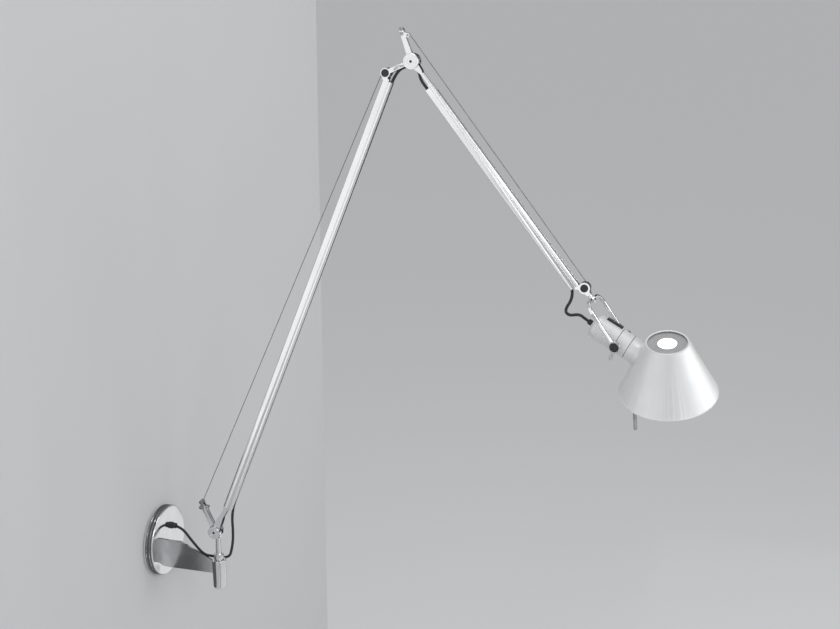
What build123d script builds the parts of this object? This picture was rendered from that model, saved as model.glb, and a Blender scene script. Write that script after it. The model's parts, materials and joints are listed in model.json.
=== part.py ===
from build123d import *
import math
import os

# Articulating wall lamp: a rose on the wall carries a finned bracket, and a
# stem turns in its socket. Two sprung arms follow, then a swivelling fork,
# and a lampholder with a conical shade. Millimetres, +X out of the wall,
# +Z up, origin on the wall at the middle of the rose.

# ---------------------------------------------------------------- fits
running_gap = 0.05        # radial, pin to bore
side_gap = 0.3            # between faces that move past each other
seat_gap = 0.1            # between a plug or cap and its seat
slip_gap = 0.05           # between parts that are pushed together

# ---------------------------------------------------------------- wall rose
rose_radius = 73.5
base_thickness = 6.0
shadow_groove = 1.4
cover_front = 20.0
cover_wall = 2.2
cover_edge = 2.4
rim_step = 1.5
wall_screw_spacing = 104.0
wall_screw_radius = 2.75
spigot_height = 6.0
grub_radius = 2.0

# ---------------------------------------------------------------- bracket
fin_thickness = 4.5
fin_shelf = 49.0          # end of the level top edge, from the wall
fin_drop = 33.0           # fall of the top edge at the socket
fin_bottom = -61.5
fin_tab = 14.0            # the tab behind the cover's face
socket_x = 135.6
socket_top = -29.0
socket_bottom = -95.0
socket_top_radius = 14.6
socket_bottom_radius = 13.4
socket_round = 7.0
bush_radius = 8.5
bush_length = 14.0
grommet_y = 13.5
grommet_z = 27.9
grommet_radius = 7.2
grommet_length = 13.0

# ---------------------------------------------------------------- stem
stem_radius = 6.0
stem_bottom = -86.0
collar_radius = 10.0
collar_length = 13.0
base_pivot = Vector(130.6, 0, 33.9)
clip_x = 127.6
clip_y = 20.0
clip_z = -34.0

# ---------------------------------------------------------------- joints
pin_radius = 2.5
middle_half = 3.0         # half the thickness of the middle eye
leg_thickness = 2.5
lever_thickness = 2.0
disc_thickness = 3.0
base_disc_radius = 13.5
elbow_disc_radius = 14.6
disc_dot_radius = 2.2
disc_dot_depth = 1.6
disc_groove = 0.5
eye_radius = 8.5
bush_outer_radius = 4.5

# ---------------------------------------------------------------- levers
lever_width = 7.6
lever_pin_radius = 2.2
lever_pin_head = 3.6
spool_radius = 3.4
base_lever_tip = (-29.0, 62.5)
base_lever_pin = (-29.6, 50.6)
base_spool_at = (-17.4, 51.8)
elbow_lever_tip = (-20.3, 57.2)
elbow_lever_pin = (-19.0, 48.6)
elbow_spool_at = (-7.6, 46.2)

# ---------------------------------------------------------------- arms
lower_lean = 21.9         # from the vertical, outwards
upper_fall = 51.95        # below the horizontal
tube_depth = 20.0
tube_width = 15.0
tube_corner = 3.0
slot_width = 6.4
slot_depth = 6.2
upper_slot_depth = 10.0   # the upper arm's cable lies deeper
spring_cavity = 8.4
spring_offset = 1.6       # cavity centre, towards the wire
line_groove = 0.7
channel_depth = 7.0
lower_tube_start = 65.0
lower_tube_end = 1011.5
lower_tube_v = -8.4
lower_pulley_at = (lower_tube_end + 12.6, 0.1)
elbow_at = (lower_tube_end + 50.7, -37.0)
upper_tube_start = 57.7
upper_tube_end = 506.1
upper_tube_v = -2.6
upper_pulley_at = (upper_tube_end + 10.8, 12.1)
plug_length = 12.0
plug_block = 5.0
saddle_thickness = 4.5

# ---------------------------------------------------------------- pulleys and wires
groove_radius = 7.0
flange_radius = 8.9
pulley_half_width = 4.0
hub_radius = 4.5
ring_radius = 9.1
tip_ring_radius = 10.6
cap_radius = 7.3
cap_thickness = 1.6
wire_radius = 0.8
spring_radius = 3.8
upper_spring_radius = 2.8
lower_spring_length = 260.0
upper_spring_length = 170.0
spring_wire_run = 46.0    # wire inside the tube, from its end to the spring
base_wire_start = (49.2, 48.3)
elbow_wire_start = (-36.7, 25.6)

# ---------------------------------------------------------------- fork
neck_length = 22.0        # tip pulley to swivel
swivel_fall = 54.91       # the swivel axis, below the horizontal
fork_turn = 11.7          # the fork's turn about the swivel axis
fork_length = 94.9
fork_half = 32.0
fork_bar = 3.5
fork_bar_width = 7.0
fork_corner = 21.0
fork_crown = 1.5
fork_boss_radius = 6.4
swivel_radius = 3.5
nut_radius = 5.5
nut_height = 4.0
fork_eye_radius = 11.0
fork_eye_thickness = 4.2
pivot_cap_radius = 8.7
pivot_cap_depth = 1.2
pivot_cap_proud = 1.0
pivot_radius = 3.0
lug_at = (14.8, -18.8)    # down the fork and across it, from the eye

# ---------------------------------------------------------------- lampholder
holder_radius = 23.0
holder_rear = -59.0
holder_round = 12.0
holder_wall = 1.6
seam_rear = -4.0
seam_front = 20.0
seam_gap = 0.4
boss_radius = 6.0
holder_axis = Vector(0.88054, -0.09397, -0.46456)
holder_grommet_radius = 5.2
holder_grommet_length = 9.0
switch_turn = 18.0
switch_from = -40.0
switch_to = -8.0
switch_width = 14.0
switch_proud = 3.0
switch_depth = 7.2
switch_pivot_radius = 0.8
switch_pivot_drop = 5.4   # below the rocker's face
switch_pivot_reach = 8.1
switch_end_gap = 0.6      # the rocker's ends swing outwards as it tips
socket_radius = 19.0
socket_length = 42.0

# ---------------------------------------------------------------- shade
shade_roll = 13.94        # about the holder's axis
shade_top_radius = 38.95
shade_rim_radius = 90.0
shade_height = 108.3
shade_wall = 1.3
shade_at = 39.5           # the wall, from the head's pivot
shade_top_edge = 41.2     # the top edge, from the holder's axis
neck_flange_radius = 26.0
neck_flange = 3.0
top_recess = 3.4
top_plate = 1.6
lens_radius = 18.0
rod_radius = 3.4
rod_below = 45.0
rod_above = 9.0
rod_inset = 8.2
rod_angle = 66.0
bulb_radius = 22.5
bulb_neck_radius = 13.0
bulb_centre = 82.0

# ---------------------------------------------------------------- cable
cable_radius = 2.8
cord_gap = 0.6            # between two stretches at a joint

os.makedirs("parts", exist_ok=True)


def write(name, shape):
    """Keep one node as a STEP file."""
    shape.label = name
    export_step(shape, f"parts/{name}.step")


def join(*shapes):
    """Fuse shapes that are one piece of metal."""
    body = shapes[0]
    for other in shapes[1:]:
        body = body + other
    return body


def disc(radius, low, high, at=(0, 0)):
    """A cylinder across an arm, between two heights."""
    return Pos(at[0], at[1], low) * Cylinder(
        radius, high - low, align=(Align.CENTER, Align.CENTER, Align.MIN)
    )


def block(x_range, y_range, z_range):
    """A box given by its limits."""
    size = [b - a for a, b in (x_range, y_range, z_range)]
    corner = [a for a, b in (x_range, y_range, z_range)]
    return Pos(*corner) * Box(*size, align=(Align.MIN, Align.MIN, Align.MIN))


def both_sides(make, low, high):
    """The same plate on the near and the far side of an arm."""
    return make(low, high), make(-high, -low)


def tapered_bar(start, end, start_width, end_width, low, high):
    """A flat bar with round ends, tapering from start to end."""
    start = Vector(*start)
    end = Vector(*end)
    along = (end - start).normalized()
    side = Vector(-along.Y, along.X)
    face = Polygon(
        start + side * start_width / 2,
        start - side * start_width / 2,
        end - side * end_width / 2,
        end + side * end_width / 2,
        align=None,
    )
    bar = Pos(0, 0, low) * extrude(face, high - low)
    return join(
        bar,
        disc(start_width / 2, low, high, (start.X, start.Y)),
        disc(end_width / 2, low, high, (end.X, end.Y)),
    )


def turned(plane, angle):
    """A plane turned about its own normal."""
    return Plane(plane.location * Rot(0, 0, angle))


# ---------------------------------------------------------------- frames
# In an arm's frame X runs along the arm, Y towards its wire and Z to the near side.
near_side = (0, -1, 0)
lean = math.radians(lower_lean)
fall = math.radians(upper_fall)
lower_plane = Plane(base_pivot, x_dir=(math.sin(lean), 0, math.cos(lean)), z_dir=near_side)
elbow_pivot = lower_plane.from_local_coords(Vector(*elbow_at, 0))
upper_plane = Plane(elbow_pivot, x_dir=(math.cos(fall), 0, -math.sin(fall)), z_dir=near_side)
stem_plane = Plane(base_pivot, x_dir=(1, 0, 0), z_dir=near_side)
elbow_plane = Plane(elbow_pivot, x_dir=(1, 0, 0), z_dir=near_side)

swivel = math.radians(swivel_fall)
tip = upper_plane.from_local_coords(Vector(*upper_pulley_at, 0))
swivel_axis = Vector(math.cos(swivel), 0, -math.sin(swivel))
tip_plane = Plane(tip, x_dir=swivel_axis, z_dir=near_side)
apex = tip + swivel_axis * neck_length
# In the fork's frame Z runs down the swivel axis and X along the pivot axis.
fork_plane = turned(Plane(apex, x_dir=(0, 1, 0), z_dir=swivel_axis), fork_turn)
head_pivot = apex + swivel_axis * fork_length
pivot_axis = fork_plane.x_dir
holder_dir = (holder_axis - pivot_axis * holder_axis.dot(pivot_axis)).normalized()
head_plane = Plane(head_pivot, x_dir=pivot_axis, z_dir=holder_dir)

flare = math.atan((shade_rim_radius - shade_top_radius) / shade_height)
shade_seat = turned(head_plane, shade_roll)
shade_plane = Plane(
    shade_seat.from_local_coords(
        Vector(
            0,
            shade_top_edge + shade_top_radius * math.sin(flare),
            shade_at + shade_top_radius * math.cos(flare),
        )
    ),
    x_dir=shade_seat.x_dir,
    z_dir=shade_seat.y_dir * math.cos(flare) - shade_seat.z_dir * math.sin(flare),
)

# The layers of both arm joints, outwards from the middle.
lever_low = middle_half
lever_high = lever_low + lever_thickness
leg_low = lever_high + side_gap
leg_high = leg_low + leg_thickness
disc_low = leg_high + side_gap
disc_high = disc_low + disc_thickness
bolt_half = disc_high - disc_dot_depth
pin_bore = pin_radius + running_gap


def placed(plane, shape):
    """Move a shape from a local frame into the lamp's frame."""
    return plane.location * shape


# ================================================================ wall mount
spigot_radius = rose_radius - cover_wall - seat_gap
spigot_top = base_thickness + shadow_groove + spigot_height


def rose_base():
    """The plate on the wall, with its two screw holes and the cover's spigot."""
    plate = disc(rose_radius, 0, base_thickness)
    plate += disc(rose_radius - rim_step, base_thickness, base_thickness + shadow_groove)
    spigot = disc(spigot_radius, base_thickness, spigot_top)
    plate += spigot - disc(spigot_radius - cover_wall, base_thickness - 1, spigot_top + 1)
    for side in (-1, 1):
        at = (side * wall_screw_spacing / 2, 0)
        plate -= disc(wall_screw_radius, -1, cover_front, at)
    plate -= disc(grommet_radius / 2, -1, cover_front, (grommet_y, grommet_z))
    return plate


def rose_cover():
    """The polished cup over the plate, with a step turned in its edge."""
    low = base_thickness + shadow_groove
    cup = disc(rose_radius, low, cover_front)
    cup = fillet(cup.edges().group_by(Axis.Z)[-1], cover_edge)
    middle = (low + cover_front) / 2
    band = disc(rose_radius + 1, middle - 0.5, middle + 0.5)
    cup -= band - disc(rose_radius - 0.8, middle - 1, middle + 1)
    cup -= disc(rose_radius - cover_wall, low - 1, cover_front - cover_wall)
    tab_z = (fin_bottom, 0)
    cup -= block(
        (-fin_thickness / 2 - seat_gap, fin_thickness / 2 + seat_gap),
        (tab_z[0] - seat_gap, tab_z[1] + seat_gap),
        (low, cover_front + 1),
    )
    cup -= disc(grommet_radius - 1.6 + slip_gap, low, cover_front + 1, (grommet_y, grommet_z))
    for side in (-1, 1):
        cup -= grub_place(side) * Cylinder(grub_radius, 3 * cover_wall)
    return cup


def grub_place(side):
    """Where a grub screw sits in the cover's edge."""
    level = spigot_top - grub_radius - 0.6
    return Pos(side * (rose_radius - cover_wall / 2), 0, level) * Rot(0, 90, 0)


def grub_screws():
    """The grub screws that clamp the cover on the plate's spigot."""
    screws = []
    for side in (-1, 1):
        screw = grub_place(side) * Cylinder(grub_radius - seat_gap, cover_wall)
        dot = Pos(side * cover_wall / 2, 0, 0) * grub_place(side) * Cylinder(0.8, 1.6)
        screws.append(screw - dot)
    return screws


def rose_grommet():
    """The cable's strain relief on the cover."""
    collar = disc(grommet_radius, cover_front, cover_front + 4.5, (grommet_y, grommet_z))
    end = cover_front + grommet_length
    waist = disc(grommet_radius - 1.6, base_thickness + 3, end, (grommet_y, grommet_z))
    body = join(collar, waist)
    body = fillet(body.edges().group_by(Axis.Z)[-1], 1.2)
    return body - disc(cable_radius + seat_gap, 0, end + 1, (grommet_y, grommet_z))


# The rose is drawn lying down: its X, Y and Z are the lamp's Y, Z and X.
rose_plane = Plane((0, 0, 0), x_dir=(0, 1, 0), z_dir=(1, 0, 0))
write("rose_base", placed(rose_plane, rose_base()))
write("rose_cover", placed(rose_plane, rose_cover()))
write("rose_grub_screws", placed(rose_plane, Compound(grub_screws())))
write("rose_grommet", placed(rose_plane, rose_grommet()))


def socket_radius_at(z):
    """The socket's outer radius at a height."""
    share = (socket_top - z) / (socket_top - socket_bottom)
    return socket_top_radius + share * (socket_bottom_radius - socket_top_radius)


socket_bore = bush_radius + seat_gap
socket_floor = stem_bottom - side_gap


def socket_tube():
    """The turned socket with its rounded bottom."""
    profile = Polyline(
        (0, socket_bottom),
        (socket_radius_at(socket_bottom), socket_bottom),
        (socket_top_radius, socket_top),
        (0, socket_top),
        close=True,
    )
    body = revolve(Plane.XZ * make_face(profile), Axis.Z)
    body = fillet(body.edges().group_by(Axis.Z)[0], socket_round)
    body = chamfer(body.edges().group_by(Axis.Z)[-1], 0.8)
    body -= disc(stem_radius + 1, socket_floor, socket_top + 1)
    for low in bush_floors:
        body -= disc(socket_bore, low, low + bush_length)
    return Pos(socket_x, 0, 0) * body


bush_floors = (socket_top - bush_length, socket_floor)


def bushes():
    """Two plain bearings for the stem."""
    rings = []
    for low in bush_floors:
        ring = disc(bush_radius, low, low + bush_length)
        ring -= disc(stem_radius + running_gap, low - 1, low + bush_length + 1)
        rings.append(Pos(socket_x, 0, 0) * ring)
    return rings


def bracket_fin():
    """The plate between rose and socket, its top edge falling to the socket."""
    reach = socket_x
    outline = Polyline(
        (cover_front - fin_tab + 2, 0),
        (fin_shelf, 0),
        (socket_x - socket_top_radius, -fin_drop),
        (reach, -fin_drop),
        (reach, fin_bottom),
        (cover_front - fin_tab + 2, fin_bottom),
        close=True,
    )
    plate = extrude(Plane.XZ * make_face(outline), fin_thickness / 2, both=True)
    seat = revolve(
        Plane.XZ * make_face(Polyline(
            (0, socket_bottom),
            (socket_radius_at(socket_bottom) + slip_gap, socket_bottom),
            (socket_top_radius + slip_gap, socket_top),
            (0, socket_top),
            close=True,
        )),
        Axis.Z,
    )
    return plate - Pos(socket_x, 0, 0) * seat


write("socket", socket_tube())
write("socket_bushes", Compound(bushes()))
write("bracket_fin", bracket_fin())


# ================================================================ stem
def grooved_disc(radius, low, high, bore):
    """A joint disc: two turned grooves and a blind dot on its outer face."""
    outer = high if high > 0 else low
    inward = -1 if high > 0 else 1
    body = disc(radius, low, high)
    rim = body.edges().group_by(Axis.Z)[-1 if high > 0 else 0]
    body = chamfer(rim, 0.6)
    for share in (0.78, 0.48):
        ring_low = min(outer, outer + inward * disc_groove)
        ring = disc(radius * share, ring_low, ring_low + disc_groove)
        ring -= disc(radius * share - 0.9, ring_low - 1, ring_low + 2)
        body -= ring
    return body - disc(bore, low - 1, high + 1)


def stem_rod():
    """The turning stem, flattened into the middle eye of the base joint."""
    rod = Pos(socket_x, 0, 0) * disc(stem_radius, stem_bottom, base_pivot.Z - 6)
    eye = disc(eye_radius, -middle_half, middle_half)
    reach = socket_x - base_pivot.X
    neck = block((reach - stem_radius, reach + stem_radius), (-14, 0), (-middle_half, middle_half))
    flat = placed(stem_plane, join(eye, neck))
    top = placed(stem_plane, block((-30, 30), (-4 - eye_radius, 30), (-30, 30)))
    rod = (rod - top) + flat
    return rod - placed(stem_plane, disc(pin_bore, -middle_half - 1, middle_half + 1))


def stem_collar():
    """The collar that rests on the socket, with its set screw."""
    low = socket_top + side_gap
    ring = disc(collar_radius, low, low + collar_length)
    ring = chamfer(ring.edges().filter_by(GeomType.CIRCLE), 1.0)
    ring -= disc(stem_radius + slip_gap, low - 1, low + collar_length + 1)
    screw = Pos(0, -collar_radius - 0.5, low + collar_length / 2)
    ring -= screw * Rot(90, 0, 0) * Cylinder(1.6, 3)
    return Pos(socket_x, 0, 0) * ring


def cable_clip():
    """The eye behind the collar that holds the cable to the stem."""
    low = socket_top + side_gap + 0.7
    shift = clip_x - socket_x
    tab = block((shift - 3, shift + 3), (0, clip_y), (low, low + 2.5))
    tab -= disc(collar_radius + slip_gap, low - 1, low + 4)
    ring = Rot(0, 90, 0) * Cylinder(cable_radius + 2.2, 6)
    ring = Pos(shift, clip_y, clip_z) * ring
    post = block(
        (shift - 3, shift + 3), (clip_y - 2.4, clip_y + 2.4), (clip_z, low + 2.5)
    )
    hole = Pos(shift, clip_y, clip_z) * Rot(0, 90, 0) * Cylinder(cable_radius + seat_gap, 8)
    return Pos(socket_x, 0, 0) * (join(tab, ring, post) - hole)


def lever(plane, lever_tip, pin_at, spool_at, root_width):
    """Two plates, a cross pin and the wire's spool; the wire hooks at the tip."""
    def plate(low, high):
        bar = tapered_bar((0, 0), lever_tip, root_width, lever_width, low, high)
        lobe = tapered_bar(pin_at, spool_at, lever_width, lever_width, low, high)
        bar = bar + lobe - disc(pin_bore, low - 1, high + 1)
        for at in (pin_at, spool_at, lever_tip):
            bar -= disc(lever_pin_radius + slip_gap, low - 1, high + 1, at)
        return bar
    plates = both_sides(plate, lever_low, lever_high)
    pins = []
    for at, head in ((pin_at, lever_pin_head), (lever_tip, lever_width / 2)):
        body = disc(lever_pin_radius, -lever_high, lever_high, at)
        for low in (lever_high, -lever_high - 1.8):
            body += disc(head, low, low + 1.8, at)
        body -= disc(1.4, lever_high + 0.8, lever_high + 2, at)
        pins.append(body)
    spool = disc(lever_pin_radius, -lever_high, lever_high, spool_at)
    spool += disc(spool_radius, -lever_low, lever_low, spool_at)
    spool -= disc(spool_radius + 1, -1.6, 1.6, spool_at) - disc(spool_radius - 1, -2, 2, spool_at)
    return (
        placed(plane, Compound(plates)),
        placed(plane, Compound(pins)),
        placed(plane, spool),
    )


def bolt(plane):
    """The through bolt of an arm joint."""
    return placed(plane, disc(pin_radius, -bolt_half, bolt_half))


base_plates, base_pins, base_spool = lever(
    stem_plane, base_lever_tip, base_lever_pin, base_spool_at, 11.0
)
write("stem", stem_rod())
write("stem_collar", stem_collar())
write("stem_cable_clip", cable_clip())
base_discs = both_sides(
    lambda low, high: grooved_disc(base_disc_radius, low, high, pin_bore), disc_low, disc_high
)
write("base_discs", placed(stem_plane, Compound(base_discs)))
write("base_lever", base_plates)
write("base_lever_pins", base_pins)
write("base_spool", base_spool)
write("base_bolt", bolt(stem_plane))


# ================================================================ arms
def tube_outline():
    """The rounded outline of the arm profile, drawn across the arm."""
    return RectangleRounded(tube_depth, tube_width, tube_corner)


def cable_slot(depth):
    """The open slot that holds the cable, away from the wire."""
    return Pos(-tube_depth / 2 + depth / 2, 0) * Rectangle(depth, slot_width)


def side_lines(at):
    """A fine line down each side of the profile."""
    left = Pos(at, tube_width / 2) * Rectangle(line_groove, line_groove * 2)
    right = Pos(at, -tube_width / 2) * Rectangle(line_groove, line_groove * 2)
    return left + right


def lower_section():
    """Square spring cavity, shallow wire-side groove, cable slot."""
    section = tube_outline() - cable_slot(slot_depth)
    section -= Pos(spring_offset, 0) * RectangleRounded(spring_cavity, spring_cavity, 1)
    section -= Pos(tube_depth / 2, 0) * Rectangle(2.4, 5)
    return section - side_lines(-tube_depth / 2 + slot_depth)


def upper_section():
    """Open spring channel on the wire side, deep cable slot behind it."""
    section = tube_outline() - cable_slot(upper_slot_depth)
    channel = tube_depth / 2 - channel_depth / 2
    section -= Pos(channel, 0) * Rectangle(channel_depth, slot_width)
    return section - side_lines(tube_depth / 2 - channel_depth - 0.6)


def tube(plane, section, start, end, offset):
    """An extruded arm between two stations."""
    across = Plane((start, offset, 0), x_dir=(0, 1, 0), z_dir=(1, 0, 0))
    return placed(plane, extrude(across * section, end - start))


def foot(neck_at, bar_width, start, block_v, tube_plug):
    """The arm's forked foot: two legs, a cross block and a plug in the tube."""
    middle = (block_v[0] + block_v[1]) / 2
    def leg(low, high):
        bar = tapered_bar((0, 0), neck_at, 2 * eye_radius, bar_width + 3, low, high)
        bar += tapered_bar(neck_at, (start - plug_block, middle), bar_width, bar_width, low, high)
        return bar - disc(pin_bore, low - 1, high + 1)
    legs = both_sides(leg, leg_low, leg_high)
    cross = block((start - plug_block, start), block_v, (-leg_high, leg_high))
    return join(legs[0], legs[1], cross, tube_plug)


def plug(start, centre_v, height, width):
    """The plug that fills a tube's cavity from one station on."""
    width = width - 2 * seat_gap
    high = height - 2 * seat_gap
    body = block(
        (start, start + plug_length),
        (centre_v - high / 2, centre_v + high / 2),
        (-width / 2, width / 2),
    )
    return chamfer(body.edges().filter_by(Axis.X), 0.8)


write("lower_tube", tube(
    lower_plane, lower_section(), lower_tube_start, lower_tube_end, lower_tube_v
))
write("upper_tube", tube(
    upper_plane, upper_section(), upper_tube_start, upper_tube_end, upper_tube_v
))
lower_spring_v = lower_tube_v + spring_offset
lower_plug = plug(lower_tube_start, lower_spring_v, spring_cavity, spring_cavity)
lower_block_v = (lower_tube_v - tube_depth / 2 + slot_depth + 0.6, lower_tube_v + tube_depth / 2 - 1.5)
write("lower_foot", placed(lower_plane, foot(
    (34, -1.5), 8.0, lower_tube_start, lower_block_v, lower_plug
)))
channel_v = upper_tube_v + tube_depth / 2 - channel_depth / 2
upper_plug = plug(upper_tube_start, channel_v, channel_depth, slot_width)
upper_block_v = (upper_tube_v - tube_depth / 2 + upper_slot_depth + 0.4, upper_tube_v + tube_depth / 2 - 1)
write("upper_foot", placed(upper_plane, foot(
    (24, 2.0), 4.6, upper_tube_start, upper_block_v, upper_plug
)))


# ---------------------------------------------------------------- arm ends
def pulley_space(at, half):
    """The room that a pulley turns in."""
    return disc(flange_radius + side_gap, -half, half, at)


def wire_bore(at, end):
    """The hole for the wire on its way back into the tube."""
    v = at[1] - groove_radius - side_gap - wire_radius
    return Pos(end, v, 0) * Rot(0, 90, 0) * Cylinder(wire_radius + 1.0, 60)


def lower_link():
    """Near and far link plates, from the pulley to the elbow's discs."""
    def plate(low, high):
        ring = disc(ring_radius, low, high, lower_pulley_at)
        bar = tapered_bar(lower_pulley_at, elbow_at, 8.4, 8.0, low, high)
        leg_at = (lower_tube_end + saddle_thickness / 2, lower_tube_v + 1.5)
        leg = tapered_bar(lower_pulley_at, leg_at, 8.0, saddle_thickness, low, high)
        shift = Pos(*elbow_at, 0)
        hub = shift * grooved_disc(elbow_disc_radius, low, high, pin_bore)
        body = join(ring, bar, leg) - shift * disc(elbow_disc_radius - 0.1, low - 1, high + 1)
        body = body + hub
        return body - disc(pin_bore, low - 1, high + 1, lower_pulley_at)
    plates = both_sides(plate, disc_low, disc_high)
    saddle_v = (lower_tube_v - tube_depth / 2 + slot_depth + 0.4, lower_tube_v + tube_depth / 2)
    end = lower_tube_end + saddle_thickness
    saddle = block((lower_tube_end, end), saddle_v, (-disc_high, disc_high))
    saddle -= pulley_space(lower_pulley_at, disc_low)
    end_plug = plug(
        lower_tube_end - plug_length, lower_spring_v, spring_cavity, spring_cavity
    )
    body = join(plates[0], plates[1], saddle, end_plug)
    return body - wire_bore(lower_pulley_at, lower_tube_end)


def pulley(at, half_hub):
    """A grooved wheel with a long hub."""
    body = disc(flange_radius, -pulley_half_width, pulley_half_width, at)
    body += disc(hub_radius, -half_hub + side_gap, half_hub - side_gap, at)
    profile = Polyline(
        (groove_radius, -wire_radius - 0.4),
        (flange_radius + 1, -pulley_half_width + 0.6),
        (flange_radius + 1, pulley_half_width - 0.6),
        (groove_radius, wire_radius + 0.4),
        close=True,
    )
    groove = revolve(Plane.XZ * make_face(profile), Axis.Z)
    body -= Pos(*at, 0) * groove
    return body - disc(pin_bore, -half_hub, half_hub, at)


def axle(at, half_width, cap):
    """A pulley's axle with a flat cap at each end."""
    body = disc(pin_radius, -half_width, half_width, at)
    for low in (half_width, -half_width - cap_thickness):
        end = disc(cap, low, low + cap_thickness, at)
        body += chamfer(end.edges().group_by(Axis.Z)[-1 if low > 0 else 0], 0.5)
    return body


def tangent_point(start, centre, radius, side):
    """Where a line from start touches a circle."""
    offset = Vector(*centre) - Vector(*start)
    reach = offset.length
    angle = math.atan2(offset.Y, offset.X) + side * math.asin(radius / reach)
    run = math.sqrt(reach * reach - radius * radius)
    return (start[0] + run * math.cos(angle), start[1] + run * math.sin(angle))


wire_path_radius = groove_radius + side_gap + wire_radius


def tension_wire(start, pulley_at, spring_top):
    """From the lever over the pulley and back to the spring's hook."""
    touch = tangent_point(start, pulley_at, wire_path_radius, 1)
    leave = (pulley_at[0], pulley_at[1] - wire_path_radius)
    far = (pulley_at[0] + wire_path_radius, pulley_at[1])
    path = Polyline(start, touch) + ThreePointArc(touch, far, leave) + Polyline(leave, spring_top)
    return tube_along(path, start, touch, wire_radius)


def tube_along(path, start, second, radius):
    """A round bar swept along a path in the arm's own plane."""
    first = Vector(*start) if len(start) == 3 else Vector(*start, 0)
    after = Vector(*second) if len(second) == 3 else Vector(*second, 0)
    face = Plane(first, z_dir=after - first) * Circle(radius)
    return sweep(face, path=path)


def spring(top, centre_v, length, radius):
    """A close-wound tension spring, with the pin that anchors its foot."""
    bottom = top - length
    body = Pos(bottom, centre_v, 0) * Rot(0, 90, 0) * Cylinder(
        radius, length, align=(Align.CENTER, Align.CENTER, Align.MIN)
    )
    pin = disc(1.0, -tube_width / 2 + 0.5, tube_width / 2 - 0.5, (bottom - 2.0, centre_v))
    return body, pin


lower_spring_top = lower_tube_end - plug_length - spring_wire_run
upper_spring_v = upper_pulley_at[1] - wire_path_radius
upper_spring_top = upper_tube_end - plug_length - spring_wire_run
write("lower_link", placed(lower_plane, lower_link()))
write("lower_pulley", placed(lower_plane, pulley(lower_pulley_at, disc_low)))
write("lower_axle", placed(lower_plane, axle(lower_pulley_at, disc_high, cap_radius)))
write("lower_wire", placed(lower_plane, tension_wire(
    base_wire_start, lower_pulley_at, (lower_spring_top, lower_spring_v)
)))
write("lower_spring", placed(lower_plane, spring(
    lower_spring_top, lower_spring_v, lower_spring_length, spring_radius
)[0]))
write("upper_spring", placed(upper_plane, spring(
    upper_spring_top, upper_spring_v, upper_spring_length, upper_spring_radius
)[0]))

elbow_plates, elbow_pins, elbow_spool = lever(
    elbow_plane, elbow_lever_tip, elbow_lever_pin, elbow_spool_at, 11.0
)
write("elbow_lever", elbow_plates)
write("elbow_lever_pins", elbow_pins)
write("elbow_spool", elbow_spool)
write("elbow_bolt", bolt(elbow_plane))
elbow_bush = disc(bush_outer_radius, -middle_half, middle_half)
elbow_bush -= disc(pin_bore, -middle_half - 1, middle_half + 1)
write("elbow_bush", placed(elbow_plane, elbow_bush))

tip_plate_low = pulley_half_width + 1.6
tip_plate_high = tip_plate_low + leg_thickness


def upper_tip():
    """The forked tip: ring plates round the pulley, then the swivel's pin."""
    centre = (0, 0)
    def plate(low, high):
        return disc(tip_ring_radius, low, high, centre)
    plates = both_sides(plate, tip_plate_low, tip_plate_high)
    cross_at = tip_ring_radius + 1.0
    cheeks = [
        tapered_bar(centre, (cross_at, 0), 12, 9, low, high)
        for low, high in ((tip_plate_low, tip_plate_high), (-tip_plate_high, -tip_plate_low))
    ]
    cross = block((cross_at - 1.0, cross_at + 4.0), (-4.5, 4.5), (-tip_plate_high, tip_plate_high))
    cross = fillet(cross.edges().filter_by(Axis.X), 2.0)
    pin_end = neck_length + fork_crown + fork_bar / 2 + nut_height + 1.5
    pin = Pos(cross_at + 2, 0, 0) * Rot(0, 90, 0) * Cylinder(
        swivel_radius, pin_end - cross_at - 2, align=(Align.CENTER, Align.CENTER, Align.MIN)
    )
    shoulder = Pos(cross_at + 4, 0, 0) * Rot(0, 90, 0) * Cone(
        4.5, swivel_radius + 1.2, neck_length + fork_crown - fork_bar / 2 - side_gap - cross_at - 4,
        align=(Align.CENTER, Align.CENTER, Align.MIN),
    )
    head = placed(tip_plane, join(plates[0], plates[1], *cheeks, cross, pin, shoulder))
    saddle_v = (
        upper_tube_v - tube_depth / 2 + upper_slot_depth + 0.4,
        upper_tube_v + tube_depth / 2,
    )
    end = upper_tube_end + saddle_thickness
    saddle = block((upper_tube_end, end), saddle_v, (-tip_plate_high, tip_plate_high))
    arms = [
        tapered_bar(upper_pulley_at, (end - 2, upper_tube_v + 3), 12, 4, low, high)
        for low, high in ((tip_plate_low, tip_plate_high), (-tip_plate_high, -tip_plate_low))
    ]
    seat = join(saddle, *arms) - pulley_space(upper_pulley_at, tip_plate_low)
    seat = join(seat, plug(upper_tube_end - plug_length, channel_v, channel_depth, slot_width))
    seat -= wire_bore(upper_pulley_at, upper_tube_end)
    body = head + placed(upper_plane, seat)
    return body - placed(upper_plane, disc(pin_bore, -20, 20, upper_pulley_at))


write("upper_tip", upper_tip())
write("upper_pulley", placed(upper_plane, pulley(upper_pulley_at, tip_plate_low)))
write("upper_axle", placed(upper_plane, axle(upper_pulley_at, tip_plate_high, cap_radius)))
write("upper_wire", placed(upper_plane, tension_wire(
    elbow_wire_start, upper_pulley_at, (upper_spring_top, upper_spring_v)
)))


# ================================================================ fork
fork_inner = fork_half - fork_bar / 2
eye_inner = fork_inner
eye_outer = eye_inner + fork_eye_thickness


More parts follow.
